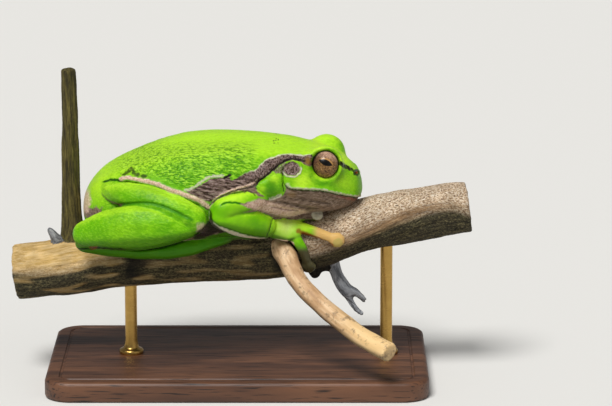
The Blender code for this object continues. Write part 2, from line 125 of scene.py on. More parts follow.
def size_of(name):
    """A node's lowest and highest corners, in millimetres."""
    low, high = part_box(name)
    return np.array(low) / MM, np.array(high) / MM


def rounded_outline(half_length, half_depth, radius, steps=12):
    """Points round a rectangle with round corners, counted the same at any size."""
    found = []
    for corner, (sx, sy) in enumerate(((1, 1), (-1, 1), (-1, -1), (1, -1))):
        for angle in (corner * 90 + np.linspace(0, 90, steps)) * math.pi / 180:
            x = sx * (half_length - radius) + radius * math.cos(angle)
            y = sy * (half_depth - radius) + radius * math.sin(angle)
            found.append((x, y))
    return found


def through_rings(rings):
    """A closed bmesh through rings of equal count, with a flat face at each end."""
    shape = bmesh.new()
    rows = [[shape.verts.new(spot) for spot in ring] for ring in rings]
    for here, there in zip(rows, rows[1:]):
        for j in range(len(here)):
            k = (j + 1) % len(here)
            shape.faces.new((here[j], here[k], there[k], there[j]))
    shape.faces.new(rows[0][::-1])
    shape.faces.new(rows[-1])
    bmesh.ops.recalc_face_normals(shape, faces=shape.faces)
    return shape


def finished(shape, name):
    """Turns a bmesh in millimetres into a mesh in metres."""
    shape.transform(Matrix.Scale(MM, 4))
    mesh = bpy.data.meshes.new(name)
    shape.to_mesh(mesh)
    shape.free()
    return mesh


def walnut():
    made, tree, shader = surface("oiled_walnut")
    place = add(tree, "TexCoord", output="Object")
    rings = add(tree, "Mapping", {"Vector": place, "Scale": (0.12, 1.0, 0.6), "Rotation": (0.3, 0.0, 0.05)})
    rings = add(tree, "TexNoise", {"Vector": rings, "Scale": 1 / (RING_WIDTH * MM), "Detail": 3.0})
    pores = add(tree, "Mapping", {"Vector": place, "Scale": (PORE_WIDTH / PORE_LENGTH, 1.0, 1.0)})
    pores = add(tree, "TexNoise", {"Vector": pores, "Scale": 0.5 / (PORE_WIDTH * MM), "Detail": 2.0})
    wood = add(
        tree,
        "ValToRGB",
        {"Fac": rings},
        ((0.0, "#3a2316"), (0.42, "#4d3020"), (0.6, "#6a452e"), (1.0, "#7d553a")),
    )
    open_pores = add(tree, "MapRange", {"Value": pores, "From Min": 0.56, "From Max": 0.68})
    shown = tinted(tree, open_pores, wood, "#24150d")
    tree.links.new(shown, shader.inputs["Base Color"])
    rough = add(tree, "MapRange", {"Value": pores, "To Min": 0.38, "To Max": 0.6})
    tree.links.new(rough, shader.inputs["Roughness"])
    bump = add(tree, "Bump", {"Height": open_pores, "Strength": 0.4, "Distance": 0.04 * MM}, invert=True)
    tree.links.new(bump, shader.inputs["Normal"])
    return made


low, high = size_of("stand_base")
rings = []
for inset, height in BOARD_PROFILE:
    outline = rounded_outline(high[0] - inset, high[1] - inset, CORNER_RADIUS - inset)
    rings.append([(x, y, height) for x, y in outline])
board = finished(through_rings(rings), "stand_board")
object_of("stand_board", board, walnut(), "stand_wood", "stand_base")
board.set_sharp_from_angle(angle=CRISP)

# Two turned brass rods carry the branch. Each has a foot ring on the board, a short cone over it and a plain
# stem that runs into a hole drilled in the wood. Turning leaves fine rings round the metal, and brass keeps a
# warm, slightly dull shine.
ROD_PROFILE = (  # radius and height over the board, up to the plain stem
    (1.75, 0.0),
    (1.8, 0.15),
    (1.8, 0.5),
    (1.65, 0.7),
    (1.25, 0.8),
    (1.1, 1.0),
    (1.02, 1.5),
    (0.9, 2.2),
)
ROD_INTO_WOOD = 1.2
TURNED_RING = 0.12


def brass():
    made, tree, shader = surface("turned_brass")
    place = add(tree, "TexCoord", output="Object")
    turned = add(tree, "Mapping", {"Vector": place, "Scale": (0.05, 0.05, 1.0)})
    turned = add(tree, "TexNoise", {"Vector": turned, "Scale": 1 / (TURNED_RING * MM), "Detail": 1.0})
    dulled = add(tree, "TexNoise", {"Vector": place, "Scale": 1 / (1.5 * MM), "Detail": 2.0})
    metal = tinted(tree, dulled, colour("#c9a35c"), "#a98545")
    tree.links.new(metal, shader.inputs["Base Color"])
    shader.inputs["Metallic"].default_value = 1.0
    rough = add(tree, "MapRange", {"Value": turned, "To Min": 0.22, "To Max": 0.38})
    tree.links.new(rough, shader.inputs["Roughness"])
    bump = add(tree, "Bump", {"Height": turned, "Strength": 0.15, "Distance": 0.01 * MM})
    tree.links.new(bump, shader.inputs["Normal"])
    return made


rod_finish = brass()
board_top = size_of("stand_base")[1][2]
for name in ("stand_rod_rear", "stand_rod_front"):
    low, high = size_of(name)
    x, y = (low[:2] + high[:2]) / 2
    stem_top = high[2] + ROD_INTO_WOOD
    profile = [(radius, board_top + height) for radius, height in ROD_PROFILE]
    profile += [(profile[-1][0], stem_top)]
    turns = np.arange(40) * math.tau / 40
    rings = [[(x + r * math.cos(a), y + r * math.sin(a), z) for a in turns] for r, z in profile]
    rod = object_of(name + "_turned", finished(through_rings(rings), name), rod_finish, "rod_metal", name)
    rod.data.set_sharp_from_angle(angle=CRISP)

# The perch is a weathered dead branch with its bark worn to the fibre, and what is left of its side shoots.
# Each shoot grows out of a collar, so branch and shoots are one surface.
SEAM = 0.17  # what closes half of the gap that parts two nodes, and a little more
BARK_GRID = 0.2
FRONT_ROOT = np.array((7.2, -4.6, 18.6))  # where the pale shoot grows out
FRONT_COLLAR = 2.0  # how far its collar reaches from there
KNOTS = (((11.4, 0.5, 15.7), 1.3), ((12.8, 0.7, 16.3), 1.0))  # two small dead side shoots under the branch
FIBRE_WIDTH, SPECK_WIDTH = 0.32, 0.2  # both drawn about twice as coarse as the real fibre and lichen
FIBRE_SHAPE, SPECK_SHAPE = (0.09, 1.0, 1.0), (0.6, 1.0, 1.0)  # how far each is drawn out along the grain
WEATHER_WIDTH = 2.0

# The colours of each kind of bark, from its furrows to its crests, and the dark olive of painted shade
LICHEN = ((0.0, "#54443a"), (0.3, "#a5876a"), (0.52, "#e2c4a0"), (0.75, "#f4e2c8"), (1.0, "#fdf4e4"))
TAN = ((0.0, "#2a1c12"), (0.4, "#644a30"), (0.54, "#9c7a54"), (0.7, "#cfae84"), (1.0, "#ecd8b4"))
SHADE_OLIVE = ((0.0, "#0f0e08"), (0.42, "#242114"), (0.56, "#4e4830"), (0.75, "#857a54"), (1.0, "#a89a70"))
STRAW = ((0.0, "#6a5428"), (0.4, "#cfa860"), (0.55, "#ecc88a"), (1.0, "#fff2cc"))
MOSS = ((0.0, "#14100a"), (0.42, "#2e291a"), (0.55, "#5c5438"), (0.7, "#8e8258"), (1.0, "#bcae80"))
DARK_SHOOT = ((0.0, "#14110a"), (0.4, "#363118"), (0.56, "#665c2c"), (1.0, "#b8a860"))
GREY_STUB = ((0.0, "#2c2d30"), (0.4, "#70747a"), (0.54, "#b0b4ba"), (1.0, "#eef0f2"))


def grown(name, reach):
    """A node as a closed bmesh in millimetres, its points moved out along their normals."""
    shape = bmesh.new()
    shape.from_mesh(nodes[name].data)
    shape.transform(Matrix.Scale(1 / MM, 4))
    bmesh.ops.remove_doubles(shape, verts=shape.verts, dist=0.002)
    shape.normal_update()
    for vertex in shape.verts:
        vertex.co += vertex.normal * reach
    return shape


def fused(shapes, grid):
    """One closed surface round all the shapes, on an even grid, without loose inner pieces."""
    joined = bmesh.new()
    for shape in shapes:
        part = bpy.data.meshes.new("part")
        shape.to_mesh(part)
        shape.free()
        joined.from_mesh(part)
        bpy.data.meshes.remove(part)
    mesh = bpy.data.meshes.new("joined")
    joined.to_mesh(mesh)
    joined.free()
    maker = bpy.data.objects.new("maker", mesh)
    bpy.context.scene.collection.objects.link(maker)
    change = maker.modifiers.new("fuse", "REMESH")
    change.mode = "VOXEL"
    change.voxel_size = grid
    graph = bpy.context.evaluated_depsgraph_get()
    made = bpy.data.meshes.new_from_object(maker.evaluated_get(graph))
    bpy.data.objects.remove(maker)
    bpy.data.meshes.remove(mesh)
    return largest(made)


def largest(mesh):
    """Keeps only the surface of a mesh that has the most points."""
    shape = bmesh.new()
    shape.from_mesh(mesh)
    left = set(shape.verts)
    groups = []
    while left:
        front = [left.pop()]
        group = list(front)
        while front:
            vertex = front.pop()
            for edge in vertex.link_edges:
                other = edge.other_vert(vertex)
                if other in left:
                    left.remove(other)
                    front.append(other)
                    group.append(other)
        groups.append(group)
    groups.sort(key=len)
    bmesh.ops.delete(shape, geom=[vertex for group in groups[:-1] for vertex in group], context="VERTS")
    shape.to_mesh(mesh)
    shape.free()
    return mesh


def points_of(mesh):
    found = np.empty((len(mesh.vertices), 3))
    mesh.vertices.foreach_get("co", found.reshape(-1))
    return found


def normals_of(mesh):
    found = np.empty((len(mesh.vertices), 3), np.float32)
    mesh.vertex_normals.foreach_get("vector", found.reshape(-1))
    return found.astype(float)


def set_points(mesh, points):
    mesh.vertices.foreach_set("co", points.astype(np.float32).reshape(-1))
    mesh.update()


def store(mesh, name, values):
    """Keeps a number or a place for each point of a mesh, which its material reads."""
    single = values.ndim == 1
    layer = mesh.attributes.new(name, "FLOAT" if single else "FLOAT_VECTOR", "POINT")
    layer.data.foreach_set("value" if single else "vector", values.astype(np.float32).reshape(-1))


def smooth(mesh, strength, rounds):
    """Moves each point towards the middle of its neighbours, by its share from 0 to 1, so many times."""
    edges = np.empty((len(mesh.edges), 2), np.int32)
    mesh.edges.foreach_get("vertices", edges.reshape(-1))
    points = points_of(mesh)
    total = len(points)
    count = np.bincount(edges.reshape(-1), minlength=total)[:, None]
    strength = np.broadcast_to(np.asarray(strength, float), total)[:, None]
    for _ in range(rounds):
        around = np.empty_like(points)
        for axis in range(3):
            around[:, axis] = np.bincount(edges[:, 0], points[edges[:, 1], axis], total)
            around[:, axis] += np.bincount(edges[:, 1], points[edges[:, 0], axis], total)
        points += strength * (around / count - points)
    set_points(mesh, points)
    return mesh


def noise_at(points, scale, shift=0.0):
    """Smooth noise from -1 to 1 at each point. The scale is a number, or one for each axis."""
    return np.array([noise.noise(place) for place in (points * scale + shift).tolist()])


def step(values, start, end):
    """Goes smoothly from 0 at the start to 1 at the end."""
    share = np.clip((values - start) / (end - start), 0, 1)
    return share * share * (3 - 2 * share)


def groove(gap, width):
    """1 on a line, and nearly 0 at twice its width."""
    return np.exp(-((gap / width) ** 2))


def course(name, points):
    """How far points lie along a shoot's bent middle line, and across it. The line is fitted to the node."""
    own = points_of(nodes[name].data) / MM
    middle = own.mean(axis=0)
    way = np.linalg.svd(own - middle, full_matrices=False)[2][0]
    way *= np.sign(way[np.abs(way).argmax()])
    line = np.polyfit((own - middle) @ way, own, 5)
    along = np.clip((points - middle) @ way, *np.percentile((own - middle) @ way, (0.1, 99.9)))
    spine = np.stack([np.polyval(line[:, axis], along) for axis in range(3)], axis=1)
    return along, points - spine


def nearest(names, points):
    """The number of the node that each point lies nearest to."""
    spots, faces, owners = [], [], []
    for number, name in enumerate(names):
        mesh = nodes[name].data
        start = sum(map(len, spots))
        spots.append(points_of(mesh) / MM)
        faces += [[start + corner for corner in face.vertices] for face in mesh.polygons]
        owners += [number] * len(mesh.polygons)
    tree = BVHTree.FromPolygons(np.vstack(spots).tolist(), faces)
    return np.array([owners[tree.find_nearest(place)[2]] for place in points.tolist()])


def bark():
    made, tree, shader = surface("weathered_wood")
    grain = add(tree, "Attribute", output="Vector", attribute_name="grain")
    zone = {name: add(tree, "Attribute", output="Fac", attribute_name=name) for name in zones}
    fibre = add(tree, "Mapping", {"Vector": grain, "Scale": FIBRE_SHAPE})
    strands = {"Vector": fibre, "Scale": 1 / FIBRE_WIDTH, "Detail": 4.0, "Roughness": 0.7}
    fibre = add(tree, "TexNoise", strands)
    speck = add(tree, "Mapping", {"Vector": grain, "Scale": SPECK_SHAPE})
    crumbs = {"Vector": speck, "Scale": 1 / SPECK_WIDTH, "Detail": 3.0, "Roughness": 0.8}
    speck = add(tree, "TexNoise", crumbs)
    speck = add(tree, "MapRange", {"Value": speck, "From Min": 0.34, "From Max": 0.66})
    broad = add(tree, "TexNoise", {"Vector": grain, "Scale": 1 / WEATHER_WIDTH, "Detail": 3.0})
    worn = add(tree, "Mix", {"Factor": 0.62, "A": speck, "B": fibre})
    shown = add(tree, "ValToRGB", {"Fac": speck}, LICHEN)
    for name, pattern, stops in (
        ("shaded_underside", worn, SHADE_OLIVE),
        ("streak", fibre, TAN),
        ("mossy", worn, MOSS),
        ("straw", fibre, STRAW),
        ("dark_shoot", fibre, DARK_SHOOT),
        ("grey_stub", fibre, GREY_STUB),
    ):
        over = add(tree, "ValToRGB", {"Fac": pattern}, stops)
        shown = tinted(tree, zone[name], shown, over)
    stained = {"Value": broad, "From Min": 0.35, "From Max": 0.7, "To Min": 0.3, "To Max": 0.0}
    weather = add(tree, "MapRange", stained)
    shown = tinted(tree, weather, shown, "#3a3021")
    shown = tinted(tree, zone["blotch"], shown, "#0f0c08")
    tree.links.new(shown, shader.inputs["Base Color"])
    shader.inputs["Roughness"].default_value = 0.82
    shader.inputs["Specular IOR Level"].default_value = 0.3
    bump = add(tree, "Bump", {"Height": fibre, "Strength": 0.9, "Distance": 0.22 * MM})
    fine = add(tree, "Bump", {"Height": speck, "Strength": 0.7, "Distance": 0.1 * MM, "Normal": bump})
    tree.links.new(fine, shader.inputs["Normal"])
    return made


shoots = ("perch_branch", "perch_twig_up", "perch_bud", "perch_stub")
mesh = fused([grown(name, SEAM) for name in shoots], BARK_GRID)
smooth(mesh, 0.6, 6)
points = points_of(mesh)
shoot = nearest(shoots, points)
grain = np.empty_like(points)
rise = np.empty(len(points))
for number, name in enumerate(shoots):
    here = shoot == number
    along, away = course(name, points[here])
    upright = name == "perch_twig_up"
    grain[here] = np.column_stack([along + 100 * number, away[:, :2] if upright else away[:, 1:]])
    rise[here] = away[:, 2] / np.linalg.norm(away, axis=1)
on_branch, on_twig, on_bud, on_stub = (shoot == number for number in range(4))
furrow = noise_at(grain, (0.12, 1.1, 1.1))
fine_furrow = noise_at(grain, (0.2, 2.6, 2.6), 5.0)
lump = noise_at(points, 0.28, 3.0)
raised = 0.12 * lump + 0.1 * furrow + 0.06 * fine_furrow + 0.025 * noise_at(points, 3.0, 15.0)
raised -= 0.14 * step(noise_at(grain, (0.1, 1.6, 1.6), 11.0), 0.3, 0.55)
from_shoot = np.linalg.norm(points - FRONT_ROOT, axis=1)
past_root = step(points[:, 0], FRONT_ROOT[0] - 1.0, FRONT_ROOT[0] + 1.0)
raised -= 0.3 * groove(from_shoot - FRONT_COLLAR - 0.5, 0.35) * past_root
set_points(mesh, points + normals_of(mesh) * raised[:, None])
points = points_of(mesh)
uneven = noise_at(grain, (0.1, 0.5, 0.5), 20.0)
left = step(points[:, 0] + 4 * uneven, -9.0, -15.0)
right = step(points[:, 0] + 4 * uneven, 5.0, 10.0)
middle = (1 - left) * (1 - right)
# Painted shade: the branch is darkened with olive the more its surface faces down.
shaded_underside = step(rise + 0.35 * uneven, 0.48, -0.05)
spots = noise_at(grain, (0.14, 0.55, 0.55), 31.0)
streak = np.exp(-(((rise - 0.24) / 0.2) ** 2)) * step(noise_at(grain, (0.05, 0.5, 0.5), 42.0), -0.45, 0.1)
fleck = step(noise_at(grain, (0.22, 1.1, 1.1), 55.0), 0.0, 0.35)
black = left * step(spots, 0.1, 0.35) * step(points[:, 0], -22.0, -17.0) * step(rise, 0.95, 0.3)
black = np.maximum(black, step(from_shoot + 1.2 * uneven, FRONT_COLLAR + 1.0, FRONT_COLLAR + 0.1) * 0.9)
for knot, radius in KNOTS:
    black = np.maximum(black, step(np.linalg.norm(points - knot, axis=1), radius + 0.5, radius))
zones = {
    "shaded_underside": on_branch * shaded_underside,
    "straw": on_branch * np.maximum(left * (1 - shaded_underside), (0.5 * left + 0.25 * middle) * fleck),
    "mossy": on_branch * middle,
    "dark_shoot": (on_twig | on_bud) * 1.0,
    "grey_stub": np.maximum(on_stub, 0.75 * on_bud),
    "streak": on_branch * right * streak * 0.85,
    "blotch": on_branch * black * 0.85,
}
for name, values in {"grain": grain, **zones}.items():
    store(mesh, name, values)
mesh.transform(Matrix.Scale(MM, 4))
object_of("branch", mesh, bark(), "bark", *shoots)

# The shoot that comes forward from the branch has kept its smooth, thin bark, which dried to a pale tan.
# It is yellower towards its far end and rubbed brown in places, and painted shade darkens its underside.
TAN_GRID = 0.16


def tan_bark():
    made, tree, shader = surface("dry_smooth_bark")
    grain = add(tree, "Attribute", output="Vector", attribute_name="grain")
    fibre = add(tree, "Mapping", {"Vector": grain, "Scale": (0.15, 1.0, 1.0)})
    fibre = add(tree, "TexNoise", {"Vector": fibre, "Scale": 1.6, "Detail": 4.0})
    tan = ((0.0, "#785838"), (0.4, "#bc946a"), (0.6, "#dcba90"), (1.0, "#f4e2c6"))
    tan = add(tree, "ValToRGB", {"Fac": fibre}, tan)
    far = add(tree, "Attribute", output="Fac", attribute_name="far_end")
    low = add(tree, "Attribute", output="Fac", attribute_name="shaded_underside")
    shown = tinted(tree, far, tan, "#f4cf90")
    worn = add(tree, "TexNoise", {"Vector": grain, "Scale": 1.1, "Detail": 4.0, "Roughness": 0.7})
    worn = add(tree, "MapRange", {"Value": worn, "From Min": 0.54, "From Max": 0.66, "To Max": 0.75})
    shown = tinted(tree, worn, shown, "#7c6448")
    # Painted shade on the shoot's underside
    shown = tinted(tree, low, shown, "#5a4a36")
    tree.links.new(shown, shader.inputs["Base Color"])
    shader.inputs["Roughness"].default_value = 0.62
    bump = add(tree, "Bump", {"Height": fibre, "Strength": 0.5, "Distance": 0.15 * MM})
    tree.links.new(bump, shader.inputs["Normal"])
    return made


mesh = smooth(fused([grown("perch_twig_front", SEAM)], TAN_GRID), 0.6, 8)
points = points_of(mesh)
along, across = course("perch_twig_front", points)
grain = np.column_stack([along, across[:, 0], across[:, 2]])
height = 0.1 * noise_at(points, 0.4) + 0.03 * noise_at(grain, (0.3, 2.0, 2.0), 4.0)
set_points(mesh, points + normals_of(mesh) * height[:, None])
store(mesh, "grain", grain)
store(mesh, "far_end", 0.7 * step(points[:, 0], 13.0, 19.0))
# Painted shade: darker where the shoot faces down
store(mesh, "shaded_underside", 0.8 * step(normals_of(mesh)[:, 2], 0.05, -0.6))
mesh.transform(Matrix.Scale(MM, 4))
object_of("front_shoot", mesh, tan_bark(), "pale_bark", "perch_twig_front")

# The skin is one cast of soft silicone from snout to toes, coloured in the mass and then with thin washes.
# It has the shallow folds and grains of the living skin, lets a little light in, and has a moist, low shine.
# Yellower tops and lit spots, and darker undersides, creases and gaps, are painted light and shade.
SKIN_GRID = 0.11
EYE_RADIUS = 2.15
LID_EDGE = EYE_RADIUS - 0.06  # the skin's inner rim ends just under the eyeball's surface
EYE_OPENING, OPENING_DROP = (1.84, 1.98), 0.06  # half sizes of the gap between the lids
OPENING_SIZE = 1.95  # what turns shares of that gap into millimetres
SOCKET, LIDS = EYE_RADIUS + 0.28, EYE_RADIUS + 1.1  # how far out the skin round the ball can lie
TRUNK_SEAM, TRUNK_GRID = 0.2, 0.22  # how far nodes grow to meet, and the grid that they are joined on
LIMB_SEAM, LIMB_GRID = 0.22, 0.2
FAR = 99.0  # stands for every distance past a line's reach
TILT = math.radians(12.5)  # the side views that the marks are drawn in look down by this
SIDES = {"right": -1, "left": 1}
LIMBS = ("thigh", "shin", "upper_arm", "forearm")
PAWS = ("hand", "foot")
EYE_LOOKS = (0.10, 0.96, 0.22)  # how much ahead, out and up
# The rounded end of a folded joint: how far out and how high it is, and its radii
KNEE, KNEE_RADII = (11.0, 25.5), (2.0, 1.9, 2.0)
ELBOW, ELBOW_RADII = (10.4, 26.6), (1.85, 1.7, 1.9)
ELBOW_PROUD = 0.1  # how far the elbow stands out behind the forearm's node
WRINKLE_LEAN = math.radians(-9)  # the flank's fine wrinkles fall this much towards the head

# Marks on one flank as seen from its side, in millimetres: how far forward, and how high
MOUTH = (
    (6.9, 28.1), (7.3, 27.6), (7.9, 27.3), (9.6, 27.2), (12.0, 27.1), (13.2, 26.9), (14.5, 26.6),
    (16.2, 26.3), (17.5, 26.1), (18.8, 26.0),
)
BAND_TOP = (
    (-1.0, 28.3), (0.0, 28.9), (1.2, 29.6), (2.2, 29.9), (2.9, 30.1), (3.4, 30.8), (4.0, 31.4), (4.7, 31.7),
    (5.6, 32.0), (6.5, 32.3), (7.4, 32.4), (8.6, 32.3), (9.7, 32.2), (11.1, 32.4),
)
BAND_LOW = (
    (-1.9, 26.3), (-0.4, 26.9), (1.4, 27.4), (2.9, 28.0), (3.7, 28.7), (4.4, 29.2), (5.0, 29.7),
    (5.6, 30.2), (6.3, 30.8), (7.0, 31.2), (7.7, 31.5), (8.6, 31.5), (9.2, 31.4), (9.7, 31.0), (10.1, 30.8),
    (11.1, 30.5),
)
FOLD = (
    (10.5, 31.6), (9.6, 31.8), (8.6, 32.0), (7.4, 32.0), (6.4, 31.8), (5.5, 31.3), (4.6, 30.8), (3.8, 30.0),
    (2.9, 29.3), (1.9, 28.7), (0.7, 28.1), (-0.6, 27.5),
)
FOLD_SHADOW = (
    (9.9, 31.4), (9.2, 31.5), (8.6, 31.7), (7.8, 31.7), (7.0, 31.4), (6.3, 31.0), (5.6, 30.4), (4.9, 29.8),
    (4.1, 29.1), (3.2, 28.5), (2.5, 27.8), (1.8, 27.5),
)
DRUM, DRUM_RADII = (8.0, 30.3), (1.22, 1.06)
DRUM_SIZE = 1.1  # its middling radius, which turns shares of it into millimetres
BEHIND_DRUM = ((5.3, 30.0), (6.4, 30.8), (7.1, 31.3), (7.0, 30.5), (6.9, 29.4), (6.4, 29.6), (5.6, 29.6))
BEHIND_EYE, THROAT_SPOT = (10.35, 31.43), (7.9, 26.5)
CANTHUS = ((14.4, 31.7), (14.9, 31.2), (15.3, 30.9), (16.2, 30.5), (17.0, 30.1))
NOSTRIL = (17.46, 29.81)
CHEEK_HOLLOW = ((10.8, 29.3), (11.2, 28.6), (12.3, 28.1), (13.6, 28.1))
PATCH = (
    (-7.3, 27.0), (-5.9, 27.5), (-4.6, 28.3), (-3.7, 28.8), (-2.2, 29.0), (-1.1, 29.3), (-0.8, 28.6),
    (0.1, 28.7), (1.0, 29.4), (2.4, 29.9), (3.6, 30.5), (4.1, 29.9), (3.3, 29.1), (1.6, 28.3), (0.1, 27.7),
    (-1.4, 26.9), (-2.8, 26.2), (-3.9, 25.4), (-4.6, 25.6), (-5.8, 26.2), (-6.9, 26.7),
)
PATCH_RIM = (
    (-7.5, 27.2), (-6.8, 27.3), (-5.9, 27.8), (-4.8, 28.6), (-4.0, 29.0), (-3.0, 29.2), (-1.9, 29.3),
)
PATCH_NOTCH = ((-1.8, 28.95), (-0.95, 29.35))
HIGH_RIDGE = ((2.7, 28.2), (1.5, 27.8), (0.3, 27.5), (-0.9, 27.1), (-1.8, 26.7), (-2.8, 26.1), (-3.6, 25.3))
LOW_RIDGE = ((2.8, 27.1), (1.4, 27.1), (0.3, 27.0), (-0.7, 26.8), (-1.8, 26.3), (-2.8, 25.7), (-3.8, 24.7))
THIGH_BAND = (
    (-17.0, 28.8), (-16.0, 29.0), (-14.3, 28.7), (-12.8, 28.4), (-11.4, 28.0), (-9.9, 27.3), (-8.4, 26.8),
    (-7.0, 26.3), (-5.5, 25.7), (-4.2, 24.8),
)
THIGH_TOP = (
    (-19.5, 28.4), (-18.8, 28.6), (-17.9, 28.7), (-17.0, 28.5), (-15.8, 28.4), (-14.3, 28.1), (-12.8, 27.7),
    (-11.2, 27.3), (-9.7, 26.7), (-8.2, 26.1), (-6.7, 25.5), (-5.2, 24.9), (-4.1, 24.3),
)
THIGH_END = ((-19.5, 28.3), (-19.6, 27.5), (-19.2, 26.8), (-18.4, 26.0), (-17.3, 25.4), (-16.0, 25.1))
THIGH_LOW = (
    (-18.4, 24.7), (-16.9, 25.0), (-15.1, 25.2), (-13.1, 25.3), (-11.2, 25.0), (-9.3, 24.3), (-7.5, 23.4),
    (-6.4, 22.9),
)
HIP_MARK = ((-16.7, 29.4), (-16.0, 29.7), (-15.4, 30.3), (-15.0, 29.7), (-14.2, 29.4), (-13.3, 29.1))
RUMP_PALE, RUMP_BROWN = (-22.6, 25.6), (-21.2, 23.8)
SHIN_RUST = -20.9
KNEE_SKIN, LOBE_SHADE = (-5.0, 21.7), (4.9, 27.6)
HAND_TOP_HIGHLIGHT, AMBER_DISC, PALE_DISC = (7.2, 21.9), (14.75, 19.4), (11.75, 23.65)
FOOT_LINE = (
    (-23.8, 18.7), (-22.5, 18.6), (-20.3, 18.8), (-18.8, 18.7), (-16.9, 18.6), (-15.0, 18.4), (-13.1, 18.5),
    (-11.2, 18.8), (-9.3, 19.3), (-7.8, 19.8), (-6.5, 20.2), (-5.6, 20.9),
)
# The dark gap by the knee, which is painted shade
KNEE_GAP = (
    (-4.2, 24.7), (-3.8, 23.9), (-3.9, 23.0), (-4.7, 21.9), (-5.7, 21.1), (-6.5, 20.1), (-5.5, 20.0),
    (-4.1, 20.4), (-2.8, 21.1), (-1.3, 20.4), (-0.3, 20.4), (-2.1, 21.4), (-3.3, 22.4), (-3.6, 24.0),
)
ARM_TOP = (
    (-3.9, 24.9), (-3.4, 25.4), (-2.8, 25.9), (-2.0, 26.3), (-1.1, 26.6), (0.5, 26.8), (2.0, 26.9),
    (2.7, 26.4),
)
ARM_CREASE = ((-2.2, 25.0), (-1.7, 25.3), (-1.0, 25.4), (0.1, 25.3), (1.2, 24.9))
ARM_BARE = (
    (0.4, 25.1), (1.4, 25.4), (2.5, 25.5), (3.1, 26.0), (3.7, 25.9), (4.7, 25.7), (5.6, 26.1), (6.7, 26.4),
    (7.2, 27.1), (13.6, 26.8), (13.6, 25.3), (9.2, 23.9), (7.4, 24.1), (6.1, 24.0), (5.2, 23.3),
    (4.6, 23.7), (3.4, 24.0), (2.2, 24.4), (1.1, 24.9),
)
ELBOW_EDGE = ((-4.0, 24.4), (-4.1, 23.7), (-4.0, 23.1))
AXILLA = (
    (2.8, 27.7), (3.2, 28.4), (4.1, 28.9), (4.9, 29.2), (5.6, 29.5), (6.7, 29.4), (6.8, 27.1), (6.5, 26.6),
    (5.6, 26.3), (4.7, 25.9), (3.8, 26.1), (3.1, 26.6),
)
AXILLA_EDGE = ((3.0, 26.8), (3.4, 26.3), (4.1, 25.9), (5.0, 25.9), (5.8, 26.2), (6.6, 26.5))
NECK_CREASE = ((6.7, 30.5), (6.7, 29.4), (6.7, 28.3), (6.8, 27.0))
MOUTH_CORNER = (7.4, 27.9)
WRIST = ((5.3, 23.2), (5.1, 22.7), (4.9, 22.0), (4.7, 21.3), (4.3, 20.5))
FOREARM_LOW = (
    (-3.8, 22.6), (-3.0, 21.9), (-1.9, 21.4), (-0.4, 20.9), (1.1, 20.4), (2.6, 20.1), (4.1, 19.9),
    (5.6, 19.8), (7.1, 19.6), (8.1, 19.3),
)
BETWEEN = (
    (0.5, 27.7), (2.0, 28.1), (2.8, 28.5), (2.9, 28.1), (2.7, 27.6), (3.0, 27.0), (4.1, 26.2), (3.2, 26.2),
    (2.9, 26.6), (2.0, 26.8), (0.5, 27.0),
)
LOBE_EDGE = ((3.3, 28.6), (2.9, 28.1), (2.75, 27.6), (3.0, 26.9), (3.5, 26.3), (4.2, 25.95))
RIDGE_GAP = ((2.6, 27.7), (1.4, 27.45), (0.3, 27.25), (-0.7, 26.95), (-1.8, 26.5), (-2.8, 25.9))
FINGER_LOW = ((8.9, 21.2), (10.5, 20.5), (12.2, 19.7), (13.7, 19.1))
FOOT_END = ((-5.9, 19.7), (-3.7, 20.6), (-0.6, 21.3), (1.2, 21.2), (1.5, 19.8), (-1.0, 19.8), (-4.0, 19.5))
FLESH = (
    (0.7, 25.0), (2.5, 25.7), (3.5, 26.0), (5.5, 25.3), (7.7, 24.7), (9.9, 24.3), (10.9, 23.7), (9.2, 23.1),
    (7.0, 23.2), (4.7, 23.8), (2.5, 24.3),
)
# Place, reach and amount of the yellower washes of painted light, and of the darker ones of painted shade
LIGHT_SPOTS = (
    (11.8, 33.6, 1.3, 0.8), (9.6, 28.5, 1.5, 0.9), (5.4, 28.9, 0.8, 0.7), (3.6, 27.4, 0.6, 0.5),
    (15.8, 28.3, 1.6, 0.45), (15.4, 31.5, 1.2, 0.95), (0.0, 26.0, 1.5, 0.5), (0.0, 23.5, 1.8, 0.2),
    (7.0, 21.9, 1.8, 1.0), (9.8, 22.0, 1.3, 0.8), (-20.4, 27.8, 2.6, 0.6), (-16.0, 21.6, 3.0, 0.15),
    (-14.5, 32.4, 3.0, 0.3),
)
PAINTED_SHADE_SPOTS = (
    (-13.0, 26.2, 3.0, 0.4), (-17.5, 26.6, 1.8, 0.2), (-2.7, 24.0, 1.3, 0.35), (-17.5, 23.8, 2.0, 0.3),
)
THROAT_FOLDS = (
    ((6.7, 26.2), (8.6, 25.8), (10.9, 25.5), (13.6, 25.2)),
    ((5.8, 25.5), (7.7, 25.1), (9.8, 24.6), (11.8, 24.5)),
    ((5.0, 24.7), (6.8, 24.4), (8.9, 24.1)),
)
BACK_SPECKS = ((5.3, 34.4), (5.7, 34.8), (6.0, 34.6), (5.4, 34.1), (6.0, 34.1), (5.6, 34.5))


def curved(spots, pieces=4):
    """Points on a smooth curve through the given ones."""
    spots = np.array(spots, float)
    padded = np.vstack([2 * spots[0] - spots[1], spots, 2 * spots[-1] - spots[-2]])
    found = []
    for i in range(len(spots) - 1):
        a, b, c, d = padded[i : i + 4]
        for t in np.arange(pieces) / pieces:
            bend = (c - a) * t + (2 * a - 5 * b + 4 * c - d) * t**2 + (3 * b - a - 3 * c + d) * t**3
            found.append(b + bend / 2)
    return np.array(found + [spots[-1]])


